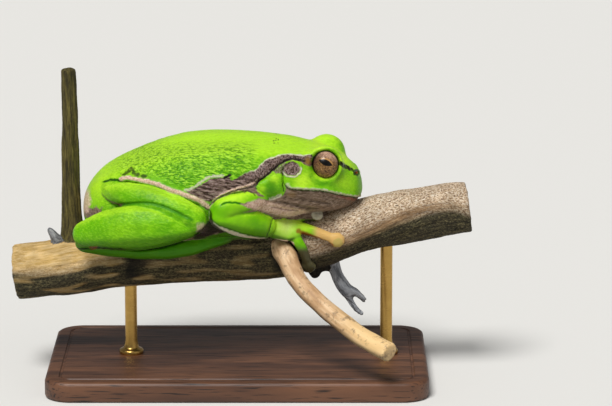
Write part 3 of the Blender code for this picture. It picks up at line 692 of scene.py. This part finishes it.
def from_line(spots, across, height, reach=2.0):
    """How far places are from a drawn line, and how far along it their nearest point is, from 0 to 1."""
    spots = curved(spots)
    low, high = spots.min(axis=0) - reach, spots.max(axis=0) + reach
    close = (across > low[0]) & (across < high[0]) & (height > low[1]) & (height < high[1])
    x, z = across[close], height[close]
    best, share = np.full(len(x), FAR), np.zeros(len(x))
    for i, (start, end) in enumerate(zip(spots, spots[1:])):
        way = end - start
        t = np.clip(((x - start[0]) * way[0] + (z - start[1]) * way[1]) / way.dot(way), 0, 1)
        gap = np.hypot(x - start[0] - t * way[0], z - start[1] - t * way[1])
        closer = gap < best
        best[closer] = gap[closer]
        share[closer] = (i + t[closer]) / (len(spots) - 1)
    all_gaps, all_shares = np.full(len(across), FAR), np.zeros(len(across))
    all_gaps[close], all_shares[close] = best, share
    return all_gaps, all_shares


def within(spots, across, height):
    """How far places lie inside a drawn outline. It is below 0 outside."""
    closed = [*spots, spots[0]]
    odd = np.zeros(len(across), bool)
    best = np.full(len(across), FAR)
    for (ax, ay), (bx, by) in zip(closed, closed[1:]):
        crossed = (ay > height) != (by > height)
        odd ^= crossed & (across < (bx - ax) * (height - ay) / (by - ay + 1e-12) + ax)
        along = (across - ax) * (bx - ax) + (height - ay) * (by - ay)
        t = np.clip(along / ((bx - ax) ** 2 + (by - ay) ** 2), 0, 1)
        best = np.minimum(best, np.hypot(across - ax - t * (bx - ax), height - ay - t * (by - ay)))
    return np.where(odd, best, -best)


def level(spots, across):
    """The height of a drawn line over each place along it."""
    spots = np.array(spots)
    return np.interp(across, spots[:, 0], spots[:, 1])


def blob(centre, radii):
    shape = bmesh.new()
    place = Matrix.Translation(centre) @ Matrix.Diagonal((*radii, 1.0))
    bmesh.ops.create_uvsphere(shape, u_segments=24, v_segments=16, radius=1, matrix=place)
    return shape


def loaded(mesh):
    shape = bmesh.new()
    shape.from_mesh(mesh)
    bpy.data.meshes.remove(mesh)
    return shape


def seen_from_side(points):
    """How far forward and how high each point looks from its own side."""
    return points[:, 0], points[:, 2] * math.cos(TILT) - np.abs(points[:, 1]) * math.sin(TILT)


def eye_axes(side):
    """The ways ahead, up and out of an eye that looks out to its side."""
    out = Vector((EYE_LOOKS[0], side * EYE_LOOKS[1], EYE_LOOKS[2])).normalized()
    ahead = (Vector((1, 0, 0)) - out * out.x).normalized()
    upward = out.cross(ahead) * -side
    return np.array((ahead, upward, out))


def from_eyes(points):
    """How far points are from the nearer eyeball's middle."""
    return np.minimum(*[np.linalg.norm(points - centre, axis=1) for centre in eyes.values()])


def from_spot(spot, along=1.0, upright=1.0):
    """How far the skin's points look from a place on the flank, each way counted more or less."""
    return np.hypot((across - spot[0]) * along, (height - spot[1]) * upright)


def from_drum_edge():
    return (np.hypot((across - DRUM[0]) / DRUM_RADII[0], (height - DRUM[1]) / DRUM_RADII[1]) - 1) * DRUM_SIZE


eyes = {}
for label, side in SIDES.items():
    low, high = size_of(f"eye_{label}")
    eyes[side] = (low + high) / 2
trunk = fused([grown("torso", TRUNK_SEAM), grown("head", TRUNK_SEAM)], TRUNK_GRID)
points = points_of(trunk)
smooth(trunk, 0.7 + 0.3 * step(from_eyes(points), 3.3, 4.6), 40)
forms = [loaded(trunk)]
for label, side in SIDES.items():
    for limb in LIMBS:
        forms.append(loaded(smooth(fused([grown(f"{limb}_{label}", LIMB_SEAM)], LIMB_GRID), 0.7, 12)))
    forms += [grown(f"{paw}_{label}", SEAM) for paw in PAWS]
    knee = size_of(f"thigh_{label}")[1][0] - KNEE_RADII[0]
    forms.append(blob((knee, side * KNEE[0], KNEE[1]), KNEE_RADII))
    elbow = size_of(f"forearm_{label}")[0][0] + ELBOW_RADII[0] - ELBOW_PROUD
    forms.append(blob((elbow, side * ELBOW[0], ELBOW[1]), ELBOW_RADII))
skin = smooth(fused(forms, SKIN_GRID), 0.6, 10)

names = ["head", "torso"] + [f"{part}_{label}" for part in LIMBS + PAWS for label in SIDES]
points = points_of(skin)
owner = nearest(names, points)
part = {}
for kind in ("head", "torso", *LIMBS, *PAWS):
    part[kind] = np.isin(owner, [i for i, name in enumerate(names) if name.startswith(kind)]) * 1.0
part["trunk"] = part["head"] + part["torso"]
part["arm"] = part["upper_arm"] + part["forearm"]
part["leg"] = part["thigh"] + part["shin"]

across, height = seen_from_side(points)
normals = normals_of(skin)
outward = np.sign(points[:, 1]) * normals[:, 1]
shown = outward * math.cos(TILT) + normals[:, 2] * math.sin(TILT)
visible = step(shown, -0.15, 0.15)
to_eye = from_eyes(points)
to_mouth = height - level(MOUTH, across)
jaw = part["head"] * visible * step(across, 6.6, 7.4)
from_drum = from_drum_edge()
patch = within(PATCH, across, height)
flank = part["torso"] * step(across, 4.5, 1.0) * step(across, -22.0, -15.0) * step(height, 35.4, 32.8)
flank *= 1 - 0.85 * step(from_line(THIGH_BAND, across, height, 3.5)[0], 1.6, 0.5)
flank = np.maximum(flank, 0.2 * part["trunk"] + 0.3 * part["leg"])
soft_belly = part["head"] * step(to_mouth, 0.0, -0.4) * step(across, 6.6, 7.2)
soft_belly = np.maximum(soft_belly, step(within(ARM_BARE, across, height), -0.1, 0.3) * (1 - part["hand"]))

CREASES = (  # line, depth, half width, and where; a depth below 0 is a ridge
    (FOLD, -0.26, 0.45, part["trunk"]),
    (FOLD_SHADOW, 0.3, 0.17, part["trunk"]),
    (HIGH_RIDGE, -0.2, 0.22, part["torso"]),
    (LOW_RIDGE, -0.16, 0.2, part["torso"]),
    (THIGH_BAND, -0.14, 0.34, part["torso"]),
    (THIGH_TOP, 0.28, 0.17, part["torso"] + part["thigh"]),
    (THIGH_END, 0.08, 0.35, part["torso"] + part["thigh"]),
    (THIGH_LOW, 0.25, 0.2, part["leg"] + part["torso"]),
    (FOOT_LINE, 0.3, 0.2, part["shin"] + part["foot"]),
    (ARM_TOP, 0.25, 0.2, part["torso"] + part["arm"]),
    (ARM_CREASE, 0.22, 0.15, part["arm"]),
    (AXILLA_EDGE, 0.25, 0.16, part["trunk"]),
    (AXILLA[:5], 0.16, 0.16, part["trunk"]),
    (NECK_CREASE, 0.28, 0.13, part["trunk"]),
    (WRIST, 0.14, 0.14, part["hand"] + part["forearm"]),
    (CANTHUS, 0.12, 0.16, part["head"]),
    (CHEEK_HOLLOW, 0.12, 0.4, part["head"]),
    *((fold, 0.2, 0.2, soft_belly) for fold in THROAT_FOLDS),
)
relief = np.zeros(len(points))
for spots, depth, width, where in CREASES:
    gap, share = from_line(spots, across, height)
    relief -= depth * where * visible * groove(gap, width) * step(share, 0, 0.12) * step(share, 1, 0.85)
drum_relief = groove(from_drum - 0.12, 0.16) - step(from_drum, 0.05, -0.35)
relief += part["trunk"] * visible * 0.14 * drum_relief
relief += jaw * (0.2 * groove(to_mouth - 0.3, 0.22) - 0.5 * groove(to_mouth, 0.12))
relief -= jaw * 0.3 * step(to_mouth, -0.02, -0.25) * step(to_mouth, -2.6, -1.0)
relief += 0.12 * part["trunk"] * step(within(AXILLA, across, height), 0.0, 0.8)
lean = Matrix.Rotation(WRINKLE_LEAN, 3, "Y")
leaning = points @ np.array(lean).T
lax = np.maximum(part["trunk"] * step(patch, -0.2, 0.3), soft_belly)
relief += 0.09 * lax * noise_at(leaning, (0.55, 1.4, 2.6), 2.0)
leather = 1 - 2 * np.abs(noise_at(leaning, (0.75, 1.6, 1.9), 8.0))
relief += (0.004 + 0.03 * flank) * leather + 0.05 * flank * noise_at(leaning, (0.5, 0.9, 1.1), 17.0)
grains = 0.7 * noise_at(points, 2.6, 23.0)
in_band = np.minimum(level(BAND_TOP, across) - height, height - level(BAND_LOW, across))
in_band *= step(across, -2.0, 0.0)
rough = np.maximum(step(in_band, 0.0, 0.2), step(from_drum, 0.1, -0.1))
relief += 0.05 * part["trunk"] * visible * rough * grains
relief += 0.012 * part["leg"] * grains
quiet = step(to_eye, 2.7, 3.1)
set_points(skin, points + normals * (relief * quiet)[:, None])

points = points_of(skin)
to_opening = np.full(len(points), FAR)
for side, centre in eyes.items():
    from_eye = points - centre
    reach = np.linalg.norm(from_eye, axis=1)
    ahead, upward, out = (from_eye @ axis for axis in eye_axes(side))
    opening = np.hypot(ahead / EYE_OPENING[0], (upward + OPENING_DROP) / EYE_OPENING[1])
    in_socket = (reach < SOCKET) | ((opening < 1.0) & (out > 0) & (reach < LIDS))
    points[in_socket] = centre + from_eye[in_socket] * (LID_EDGE / reach[in_socket])[:, None]
    at_lid = (reach < LIDS) & (out > 0)
    to_opening[at_lid] = np.minimum(to_opening[at_lid], (opening[at_lid] - 1) * OPENING_SIZE)
    nostril_gap = from_spot(NOSTRIL) + 10 * (np.sign(points[:, 1]) != side)
    pit = groove(nostril_gap, 0.22) * part["head"] * (outward > -0.2)
    points -= normals * (0.45 * pit - 0.1 * groove(nostril_gap - 0.46, 0.16) * part["head"])[:, None]
set_points(skin, points)

ragged = np.column_stack([noise_at(points, 2.2, 1.0), noise_at(points, 2.2, 40.0)]) * 0.12
across, height = seen_from_side(points)
across, height = across + ragged[:, 0], height + ragged[:, 1]
uneven = noise_at(points, 2.6, 60.0)
to_mouth = height - level(MOUTH, across)
to_eye = from_eyes(points)
from_drum = from_drum_edge()
from_nostril = from_spot(NOSTRIL)
gaps = {}
for name, spots in {
    "shadow": FOLD_SHADOW,
    "canthus": CANTHUS,
    "rim": PATCH_RIM,
    "notch": PATCH_NOTCH,
    "high_ridge": HIGH_RIDGE,
    "low_ridge": LOW_RIDGE,
    "thigh_band": THIGH_BAND,
    "thigh_top": THIGH_TOP,
    "thigh_end": THIGH_END,
    "thigh_low": THIGH_LOW,
    "foot": FOOT_LINE,
    "arm_top": ARM_TOP,
    "arm_crease": ARM_CREASE,
    "axilla": AXILLA_EDGE,
    "neck": NECK_CREASE,
    "wrist": WRIST,
    "forearm_low": FOREARM_LOW,
    "elbow": ELBOW_EDGE,
    "cheek": CHEEK_HOLLOW,
    "hip": HIP_MARK,
    "lobe": LOBE_EDGE,
    "ridges": RIDGE_GAP,
    "finger_low": FINGER_LOW,
}.items():
    gaps[name], share = from_line(spots, across, height)
    gaps[name + "_share"] = share
to_folds = np.min([from_line(fold, across, height)[0] for fold in THROAT_FOLDS], axis=0)


def mark(where, *amounts):
    """The greatest of some amounts, kept to where it belongs."""
    return where * np.clip(np.maximum.reduce([np.broadcast_to(each, where.shape) for each in amounts]), 0, 1)


# A step from one distance to a shorter one, in millimetres, is nothing at the first and whole at the second,
# so each mark fades out softly between them.
band = np.minimum(level(BAND_TOP, across) - height, height - level(BAND_LOW, across))
band = np.where((across > -1.0) & (across < 11.0), band, -1.0)
canthus_width = 0.52 - 0.25 * gaps["canthus_share"] + 0.1 * uneven
canthus = step(gaps["canthus"], canthus_width, canthus_width - 0.12) * (0.8 + 0.2 * step(uneven, -0.3, 0))
dark = mark(
    visible * part["trunk"],
    step(band, -0.08, 0.08),
    step(within(PATCH, across, height), -0.08, 0.08),
    step(from_drum, 0.08, -0.08),
    step(within(BEHIND_DRUM, across, height), -0.1, 0.1) * 0.85,
)
rump_pale = from_spot(RUMP_PALE, upright=0.6)
rump_brown = from_spot(RUMP_BROWN, along=0.5)
foot_end = part["torso"] * visible * step(within(FOOT_END, across, height), -0.15, 0.1)
ragged_bare = step(within(ARM_BARE, across, height), -0.08, 0.08)
facing_down = step(normals[:, 2], -0.35, -0.65) * step(to_eye, 3.6, 4.2)
hind_end = step(height, 25.0, 24.0) * step(across, -18.0, -16.0) * step(np.abs(points[:, 1]), 9.0, 7.0)
# The bare skin is its own grey-brown, drawn darker than that as painted shade under the jaw and body.
bare = mark(
    np.ones(len(points)),
    part["head"] * step(to_mouth, 0.02, -0.06) * step(across, 6.9, 7.3) * step(outward, -0.4, -0.2),
    ragged_bare * (part["trunk"] + part["upper_arm"] + part["forearm"] * step(outward, 0.9, 0.6)),
    facing_down * (part["trunk"] + part["thigh"] + part["upper_arm"]),
    part["torso"] * hind_end,
    part["torso"] * step(rump_brown + 0.5 * uneven, 1.1, 0.7),
    part["hand"] * step(height, 22.7, 23.0) * step(across, 6.6, 7.4),
    visible * (part["trunk"] + part["upper_arm"]) * step(within(BETWEEN, across, height), -0.08, 0.08),
)
bare *= 1 - foot_end
top_edge = step(np.abs(height - level(BAND_TOP, across) - 0.04), 0.14, 0.04) * step(across, 0.0, 4.0)
stripe = step(to_mouth, 0.02, 0.1) * step(to_mouth + 0.12 * uneven, 0.42, 0.2) * step(across, 6.9, 7.6)
corner = step(from_spot(MOUTH_CORNER, along=1.3), 0.5, 0.2)
drum_rim = step(np.abs(from_drum - 0.14), 0.13, 0.05) * step(height - 0.2 * (across - DRUM[0]), 30.5, 29.9)
pale = mark(
    visible,
    part["trunk"] * top_edge * step(across, 10.9, 10.3) * (0.6 + 0.4 * step(uneven, -0.3, 0.1)),
    part["head"] * stripe * 0.85,
    part["trunk"] * corner * 0.6,
    part["head"] * drum_rim,
    part["torso"] * step(gaps["rim"] + 0.08 * uneven, 0.26, 0.08) * 0.8,
    part["forearm"] * step(gaps["forearm_low"], 0.4, 0.2) * (1 - gaps["forearm_low_share"]),
    part["forearm"] * step(gaps["elbow"], 0.22, 0.08) * 0.8,
    part["torso"] * step(gaps["axilla"], 0.3, 0.1) * 0.7,
    part["hand"] * step(np.abs(from_spot(AMBER_DISC) - 0.88), 0.16, 0.06) * 0.7,
    part["hand"] * step(from_spot(PALE_DISC), 0.95, 0.8),
    # a painted highlight on the top of the hand
    part["hand"] * groove(from_spot(HAND_TOP_HIGHLIGHT), 1.3) * 0.32,
)
pink = mark(
    visible,
    (part["torso"] + part["thigh"]) * step(gaps["thigh_band"], 0.3 + 0.25 * gaps["thigh_band_share"], 0.2),
    part["torso"] * step(gaps["high_ridge"], 0.24, 0.08) * 0.85,
    part["torso"] * step(gaps["low_ridge"], 0.24, 0.08) * 0.75,
    part["forearm"] * step(gaps["forearm_low"], 0.32, 0.1) * gaps["forearm_low_share"] * 1.4,
    part["hand"] * step(gaps["forearm_low"], 0.36, 0.12),
    part["torso"] * step(rump_pale + 0.4 * uneven, 1.4, 0.8) * 0.85,
    (part["leg"] + part["foot"] + part["torso"]) * step(from_spot(KNEE_SKIN) + 0.3 * uneven, 1.0, 0.5) * 0.6,
    (part["trunk"] + part["arm"]) * step(within(FLESH, across, height), -0.2, 0.35) * 0.8,
)
# Near-black marks. The lid rims, canthus, nostril rings, hip marks and back specks are the frog's own.
# The lines in the creases, in the mouth's slit, under the fold and in the gap by the knee are painted shade.
line = mark(
    visible,
    step(to_opening, 0.07, 0.01) * part["head"],
    jaw * step(np.abs(to_mouth + 0.04), 0.12, 0.04) * 0.9,
    part["trunk"] * step(gaps["shadow"], 0.24, 0.08) * 0.85 * step(gaps["shadow_share"], 1.0, 0.8),
    part["head"] * canthus,
    part["torso"] * step(gaps["notch"], 0.26, 0.1),
    part["trunk"] * step(gaps["lobe"], 0.16, 0.06) * 0.7,
    part["torso"] * step(gaps["ridges"], 0.13, 0.05) * 0.7,
    part["forearm"] * step(np.abs(gaps["forearm_low"] - 0.42), 0.12, 0.04) * 0.5,
    part["trunk"] * step(gaps["neck"], 0.13, 0.05) * 0.85,
    part["torso"] * step(gaps["thigh_top"], 0.14, 0.05) * 0.8,
    (part["torso"] + part["arm"]) * step(gaps["arm_top"], 0.15, 0.05) * 0.75,
    (part["hand"] + part["forearm"]) * step(gaps["wrist"], 0.1, 0.04) * 0.85,
    part["head"] * step(np.abs(from_nostril - 0.36), 0.2, 0.08) * 0.9,
    step(within(KNEE_GAP, across, height), -0.15, 0.1) * (1 - foot_end) * 0.9,
    part["torso"] * step(gaps["hip"] + 0.25 * uneven, 0.36, 0.12) * 0.8,
    soft_belly * step(to_folds, 0.16, 0.04) * 0.5,
    (part["shin"] + part["foot"]) * step(gaps["foot"] + 0.06 * uneven, 0.17, 0.06) * 0.85,
    *(step(from_spot(speck), 0.13, 0.07) * part["trunk"] * 0.8 for speck in BACK_SPECKS),
)
shade = mark(
    visible,
    part["trunk"] * step(from_spot(LOBE_SHADE, upright=0.8), 1.2, 0.3) * 0.6,
    part["head"] * step(gaps["cheek"], 0.55, 0.2) * 0.35,
    (part["torso"] + part["thigh"]) * step(gaps["thigh_end"], 0.6, 0.1) * 0.35,
    foot_end * 0.8,
    0.15 * flank,
    *(groove(from_spot(spot), reach) * amount for *spot, reach, amount in PAINTED_SHADE_SPOTS),
    (part["torso"] + part["thigh"]) * step(gaps["thigh_top"], 0.3, 0.1) * step(across, -16.0, -17.5),
    part["leg"] * step(gaps["thigh_low"], 0.5, 0.1) * 0.8,
    part["arm"] * step(gaps["arm_crease"], 0.2, 0.06),
    part["foot"] * 0.75,
)
amber = part["hand"] * step(across, 10.6, 12.0) * step(height, 23.0, 22.4)
grey_digit = part["hand"] * step(height, 19.4, 18.0) * step(across, 12.0, 11.2)
grey_digit = np.maximum(grey_digit, 0.6 * part["foot"] * step(across, -2.5, -0.5))
rusty_crease = step(np.abs(across - SHIN_RUST), 0.8, 0.3) * step(gaps["foot"], 0.3, 0.15)
red_brown_and_edge_shade = mark(
    visible,
    part["head"] * step(from_nostril, 0.3, 0.15),
    part["head"] * step(across, 17.2, 18.4) * step(np.abs(to_mouth - 0.1), 0.8, 0.2) * 0.5,
    part["head"] * step(across, 12.5, 16.5) * step(np.abs(to_mouth + 0.3), 0.35, 0.1) * 0.4,
    (part["shin"] + part["foot"]) * rusty_crease,
    # painted shade: the reddish lower edge of the fingers
    part["hand"] * step(gaps["finger_low"], 0.5, 0.15) * 0.75,
)
gold = mark(
    visible * part["head"],
    step(from_spot(BEHIND_EYE, along=1.3), 1.0, 0.15),
    step(from_spot(THROAT_SPOT, upright=1.3), 1.1, 0.2) * 0.35,
)
olive_disc = part["hand"] * step(from_spot(AMBER_DISC), 0.9, 0.6) * 0.8
# Painted light: yellower washes where the skin is lit best.
light = mark(
    visible,
    *(groove(from_spot(spot), reach) * amount for *spot, reach, amount in LIGHT_SPOTS),
)

washes_and_painted_light = {
    "dark": dark,
    "bare": bare,
    "pale": pale,
    "pink": pink,
    "amber": amber,
    "grey_digit": grey_digit,
    "olive_disc": olive_disc,
    "light": light,
    "line": line,
    "red_brown_and_edge_shade": red_brown_and_edge_shade,
    "gold": gold,
    "shade": shade,
    # painted shade where the skin faces down
    "under": step(normals[:, 2], 0.1, -0.8),
    # painted light on the tops that face up
    "painted_top_light": step(normals[:, 2] + 0.15 * uneven, 0.35, 0.95),
    "flank": flank,
    "ticked": step(across, 1.0, 3.0) * (1 - bare),
}
for name, values in {"lie": leaning, **washes_and_painted_light}.items():
    store(skin, name, values)

# Widths in millimetres. The leather's is drawn half as coarse again as the living skin's grains.
LEATHER_WIDTH, GRAIN_WIDTH, FINE_WIDTH = 0.25, 0.34, 0.3
WRINKLE_WIDTH, TICK_WIDTH = 0.24, 0.17
TONE_WIDTH = 2.2


def painted_skin():
    made, tree, shader = surface("painted_silicone")
    place = add(tree, "TexCoord", output="Object")
    lie = add(tree, "Attribute", output="Vector", attribute_name="lie")
    marks = {name: add(tree, "Attribute", output="Fac", attribute_name=name) for name in washes_and_painted_light}
    leather = add(tree, "Mapping", {"Vector": lie, "Scale": (0.34, 1.0, 1.0)})
    ridged = {"Vector": leather, "Scale": 1 / LEATHER_WIDTH, "Detail": 2.0, "Roughness": 0.55}
    leather = add(tree, "TexNoise", {**ridged, "Distortion": 0.8})
    grain = add(tree, "TexVoronoi", {"Vector": lie, "Scale": 1 / GRAIN_WIDTH}, output="Distance")
    broad = add(tree, "TexNoise", {"Vector": place, "Scale": 1 / (TONE_WIDTH * MM), "Detail": 3.0})
    fine = add(tree, "TexNoise", {"Vector": lie, "Scale": 1 / FINE_WIDTH, "Detail": 3.0, "Roughness": 0.7})
    greens = ((0.0, "#529a02"), (0.42, "#64ae02"), (0.58, "#72ba03"), (1.0, "#88cc06"))
    green = add(tree, "ValToRGB", {"Fac": broad}, greens)
    # Painted light: a yellower green on the tops that face up, and on the lit spots.
    green = tinted(tree, marks["painted_top_light"], green, "#b0e628")
    green = tinted(tree, marks["light"], green, "#c0ec30")
    # Painted shade in the flank's furrows and painted highlights on its crests.
    for outer, inner, most, code in ((0.51, 0.41, 0.75, "#367402"), (0.53, 0.63, 0.7, "#bcf044")):
        ridge = {"Value": leather, "From Min": outer, "From Max": inner, "To Max": most}
        ridge = add(tree, "MapRange", ridge)
        ridge = add(tree, "Math", {0: ridge, 1: marks["flank"]}, operation="MULTIPLY")
        green = tinted(tree, ridge, green, code)
    green = tinted(tree, marks["shade"], green, "#2f7a06")
    # Painted shade: a darker green where the skin faces down.
    green = tinted(tree, marks["under"], green, "#3c6c08")
    wrinkled = add(tree, "Mapping", {"Vector": lie, "Scale": (0.2, 1.0, 1.0)})
    drawn_out = {"Vector": wrinkled, "Scale": 1 / WRINKLE_WIDTH, "Detail": 2.0, "Distortion": 0.3}
    wrinkled = add(tree, "TexNoise", drawn_out)
    ticks = add(tree, "Mapping", {"Vector": lie, "Scale": (1.0, 1.0, 0.45)})
    ticks = add(tree, "TexNoise", {"Vector": ticks, "Scale": 1 / TICK_WIDTH, "Detail": 2.0, "Roughness": 0.7})
    wrinkled = add(tree, "Mix", {"Factor": marks["ticked"], "A": wrinkled, "B": ticks})
    wrinkled = add(tree, "Mix", {"Factor": 0.7, "A": fine, "B": wrinkled})
    ramps = {
        "bare": ((0.0, "#2c2118"), (0.4, "#5c4a3a"), (0.56, "#84705e"), (1.0, "#b8a89c")),
        "dark": ((0.0, "#140c0a"), (0.43, "#38281f"), (0.54, "#7c665e"), (1.0, "#e4d0c8")),
        "pink": ((0.0, "#7a5444"), (0.4, "#c09c86"), (0.6, "#e2c6b0"), (1.0, "#f8e8d8")),
        "pale": ((0.0, "#857e68"), (0.45, "#c8c2a8"), (1.0, "#f4f2e0")),
    }
    shown = green
    for name, stops in ramps.items():
        washed = add(tree, "ValToRGB", {"Fac": wrinkled if name in ("dark", "bare") else fine}, stops)
        shown = tinted(tree, marks[name], shown, washed)
    for name, code in (
        ("amber", "#d2aa66"),
        ("grey_digit", "#4e4a30"),
        ("olive_disc", "#b0a258"),
        ("gold", "#86682e"),
        ("red_brown_and_edge_shade", "#8c3412"),
        ("line", "#120b08"),
    ):
        shown = tinted(tree, marks[name], shown, code)
    tree.links.new(shown, shader.inputs["Base Color"])
    rough = {"Value": fine, "From Min": 0.3, "From Max": 0.7, "To Min": 0.32, "To Max": 0.46}
    tree.links.new(add(tree, "MapRange", rough), shader.inputs["Roughness"])
    shader.inputs["IOR"].default_value = 1.41
    shader.inputs["Specular IOR Level"].default_value = 0.2
    shader.inputs["Subsurface Weight"].default_value = 0.12
    shader.inputs["Subsurface Radius"].default_value = (0.9, 0.8, 0.3)
    shader.inputs["Subsurface Scale"].default_value = 0.5 * MM
    folded = add(tree, "MapRange", {"Value": marks["flank"], "To Min": 0.12, "To Max": 1.0})
    bump = add(tree, "Bump", {"Height": leather, "Strength": folded, "Distance": 0.22 * MM})
    domed = {"Height": grain, "Strength": 0.35, "Distance": 0.05 * MM, "Normal": bump}
    bump = add(tree, "Bump", domed, invert=True)
    bump = add(tree, "Bump", {"Height": fine, "Strength": 0.4, "Distance": 0.05 * MM, "Normal": bump})
    tree.links.new(bump, shader.inputs["Normal"])
    return made


skin.transform(Matrix.Scale(MM, 4))
object_of("frog_skin", skin, painted_skin(), "skin", *names)

# Each eye is a glass ball with the iris and pupil painted on it and a clear, domed glaze over them. The
# iris is copper with a dark net of fine vessels, and a gold arc lies over the slit of the pupil.
PUPIL_TILT, PUPIL_HALF_LENGTH, PUPIL_HALF_HEIGHT = math.radians(-22), 1.1, 0.45
PUPIL_PLACE = (-0.08, 0.2)  # how far ahead of the ball's middle, and how far over it
ARC_WIDTH = 0.18
NET_WIDTH = 0.25  # the meshes of the net
COPPER = ((0.0, "#140905"), (0.4, "#3c2714"), (0.52, "#7c5a32"), (0.68, "#b88e54"), (1.0, "#dcb880"))
# The rosy, light colours of a painted reflection over the iris's upper part
ROSY_REFLECTION = ((0.0, "#3e241a"), (0.4, "#8a6654"), (0.55, "#c8a28a"), (1.0, "#f0d2bc"))


def glass_eye():
    made, tree, shader = surface("glazed_eye")
    place = add(tree, "Attribute", output="Vector", attribute_name="iris_place")
    net = {"Vector": place, "Scale": 1 / NET_WIDTH, "Detail": 4.0, "Roughness": 0.8, "Distortion": 0.9}
    net = add(tree, "TexNoise", net)
    shown = add(tree, "ValToRGB", {"Fac": net}, COPPER)
    for name, over in (
        ("painted_reflection", add(tree, "ValToRGB", {"Fac": net}, ROSY_REFLECTION)),
        ("rearward", "#38202a"),
        ("arc", "#b98a4c"),
        ("pupil", "#040302"),
        ("rim", "#040302"),
    ):
        mask = add(tree, "Attribute", output="Fac", attribute_name=name)
        shown = tinted(tree, mask, shown, over)
    tree.links.new(shown, shader.inputs["Base Color"])
    shader.inputs["Roughness"].default_value = 0.35
    shader.inputs["Specular IOR Level"].default_value = 0.15
    shader.inputs["Coat Weight"].default_value = 0.2
    shader.inputs["Coat Roughness"].default_value = 0.12
    return made


eye_finish = glass_eye()
for label, side in SIDES.items():
    axes = eye_axes(side)
    shape = bmesh.new()
    place = Matrix.Translation(eyes[side]) @ Vector(axes[2]).to_track_quat("Z", "Y").to_matrix().to_4x4()
    bmesh.ops.create_uvsphere(shape, u_segments=160, v_segments=96, radius=EYE_RADIUS, matrix=place)
    mesh = bpy.data.meshes.new(f"eye_{label}")
    shape.to_mesh(mesh)
    shape.free()
    flat = (points_of(mesh) - eyes[side]) @ axes.T
    ahead, upward = flat[:, 0] - PUPIL_PLACE[0], flat[:, 1] - PUPIL_PLACE[1]
    along = ahead * math.cos(PUPIL_TILT) + upward * math.sin(PUPIL_TILT)
    over = upward * math.cos(PUPIL_TILT) - ahead * math.sin(PUPIL_TILT)
    front = flat[:, 2] > 0
    lens = PUPIL_HALF_HEIGHT * (1 - np.clip(np.abs(along) / PUPIL_HALF_LENGTH, 0, 1) ** 2)
    arc = step(np.abs(over - lens - ARC_WIDTH / 2), ARC_WIDTH / 2 + 0.05, 0.06)
    arc *= step(np.abs(along - 0.1), 1.15, 0.8)
    opening = np.hypot(flat[:, 0] / EYE_OPENING[0], (flat[:, 1] + OPENING_DROP) / EYE_OPENING[1])
    store(mesh, "iris_place", flat)
    store(mesh, "pupil", step(lens - np.abs(over), -0.03, 0.04) * front)
    store(mesh, "arc", arc * front * (over > 0))
    store(mesh, "rim", np.maximum(step(opening, 0.92, 0.99), ~front))
    # Painted reflection: the iris is lighter and rosier towards its top.
    store(mesh, "painted_reflection", step(flat[:, 1] + 0.3 * flat[:, 0], 0.3, 1.6) * 0.8)
    store(mesh, "rearward", step(-flat[:, 0] + 0.2 * flat[:, 1], 0.7, 1.7) * 0.6)
    mesh.transform(Matrix.Scale(MM, 4))
    object_of(f"glass_eye_{label}", mesh, eye_finish, "eye", f"eye_{label}")

# The model is shown on a pale, plain floor, in the soft light of a wide key lamp, a weak fill lamp and an
# even sky. The camera looks down on its right side as steeply as the views that the marks are drawn in.
FLOOR_HALF_SIDE = 6000
AIM = Vector((10.06, 0.0, 25.92)) * MM
DISTANCE = 500 * MM
VIEW_WIDTH = 90.53 * MM  # what the picture spans at the frog
LAMP_DISTANCE = 400 * MM
LIGHTS = {  # the direction that it comes from, how wide it looks and how strong it is
    "key": ((-0.28, -0.6, 1.0), math.radians(24), 3.1),
    "fill": ((0.9, -0.7, 0.5), math.radians(60), 0.25),
}
SKY_COLOUR, SKY_STRENGTH = "#eef0f2", 0.24

floor_shape = bmesh.new()
bmesh.ops.create_grid(floor_shape, x_segments=1, y_segments=1, size=FLOOR_HALF_SIDE)
floor_finish, tree, shader = surface("plain_floor")
shader.inputs["Base Color"].default_value = colour("#e4e2dd")
shader.inputs["Roughness"].default_value = 0.9
floor = bpy.data.objects.new("floor", finished(floor_shape, "floor"))
floor.data.materials.append(floor_finish)
bpy.context.scene.collection.objects.link(floor)

camera = bpy.data.objects.new("camera", bpy.data.cameras.new("camera"))
camera.data.lens = camera.data.sensor_width * DISTANCE / VIEW_WIDTH
camera.data.clip_start = 10 * MM
way = Vector((0.0, math.cos(TILT), -math.sin(TILT)))
camera.location = AIM - way * DISTANCE
camera.rotation_euler = way.to_track_quat("-Z", "Y").to_euler()
bpy.context.scene.collection.objects.link(camera)
bpy.context.scene.camera = camera

for name, (source, width, power) in LIGHTS.items():
    lamp = bpy.data.objects.new(name, bpy.data.lights.new(name, "SUN"))
    lamp.data.angle = width
    lamp.data.energy = power
    lamp.location = AIM + Vector(source) * LAMP_DISTANCE
    lamp.rotation_euler = (-Vector(source)).to_track_quat("-Z", "Y").to_euler()
    bpy.context.scene.collection.objects.link(lamp)
world = bpy.data.worlds.new("studio")
world.use_nodes = True
world.node_tree.nodes["Background"].inputs["Color"].default_value = colour(SKY_COLOUR)
world.node_tree.nodes["Background"].inputs["Strength"].default_value = SKY_STRENGTH
bpy.context.scene.world = world
bpy.context.scene.view_settings.view_transform = "Standard"
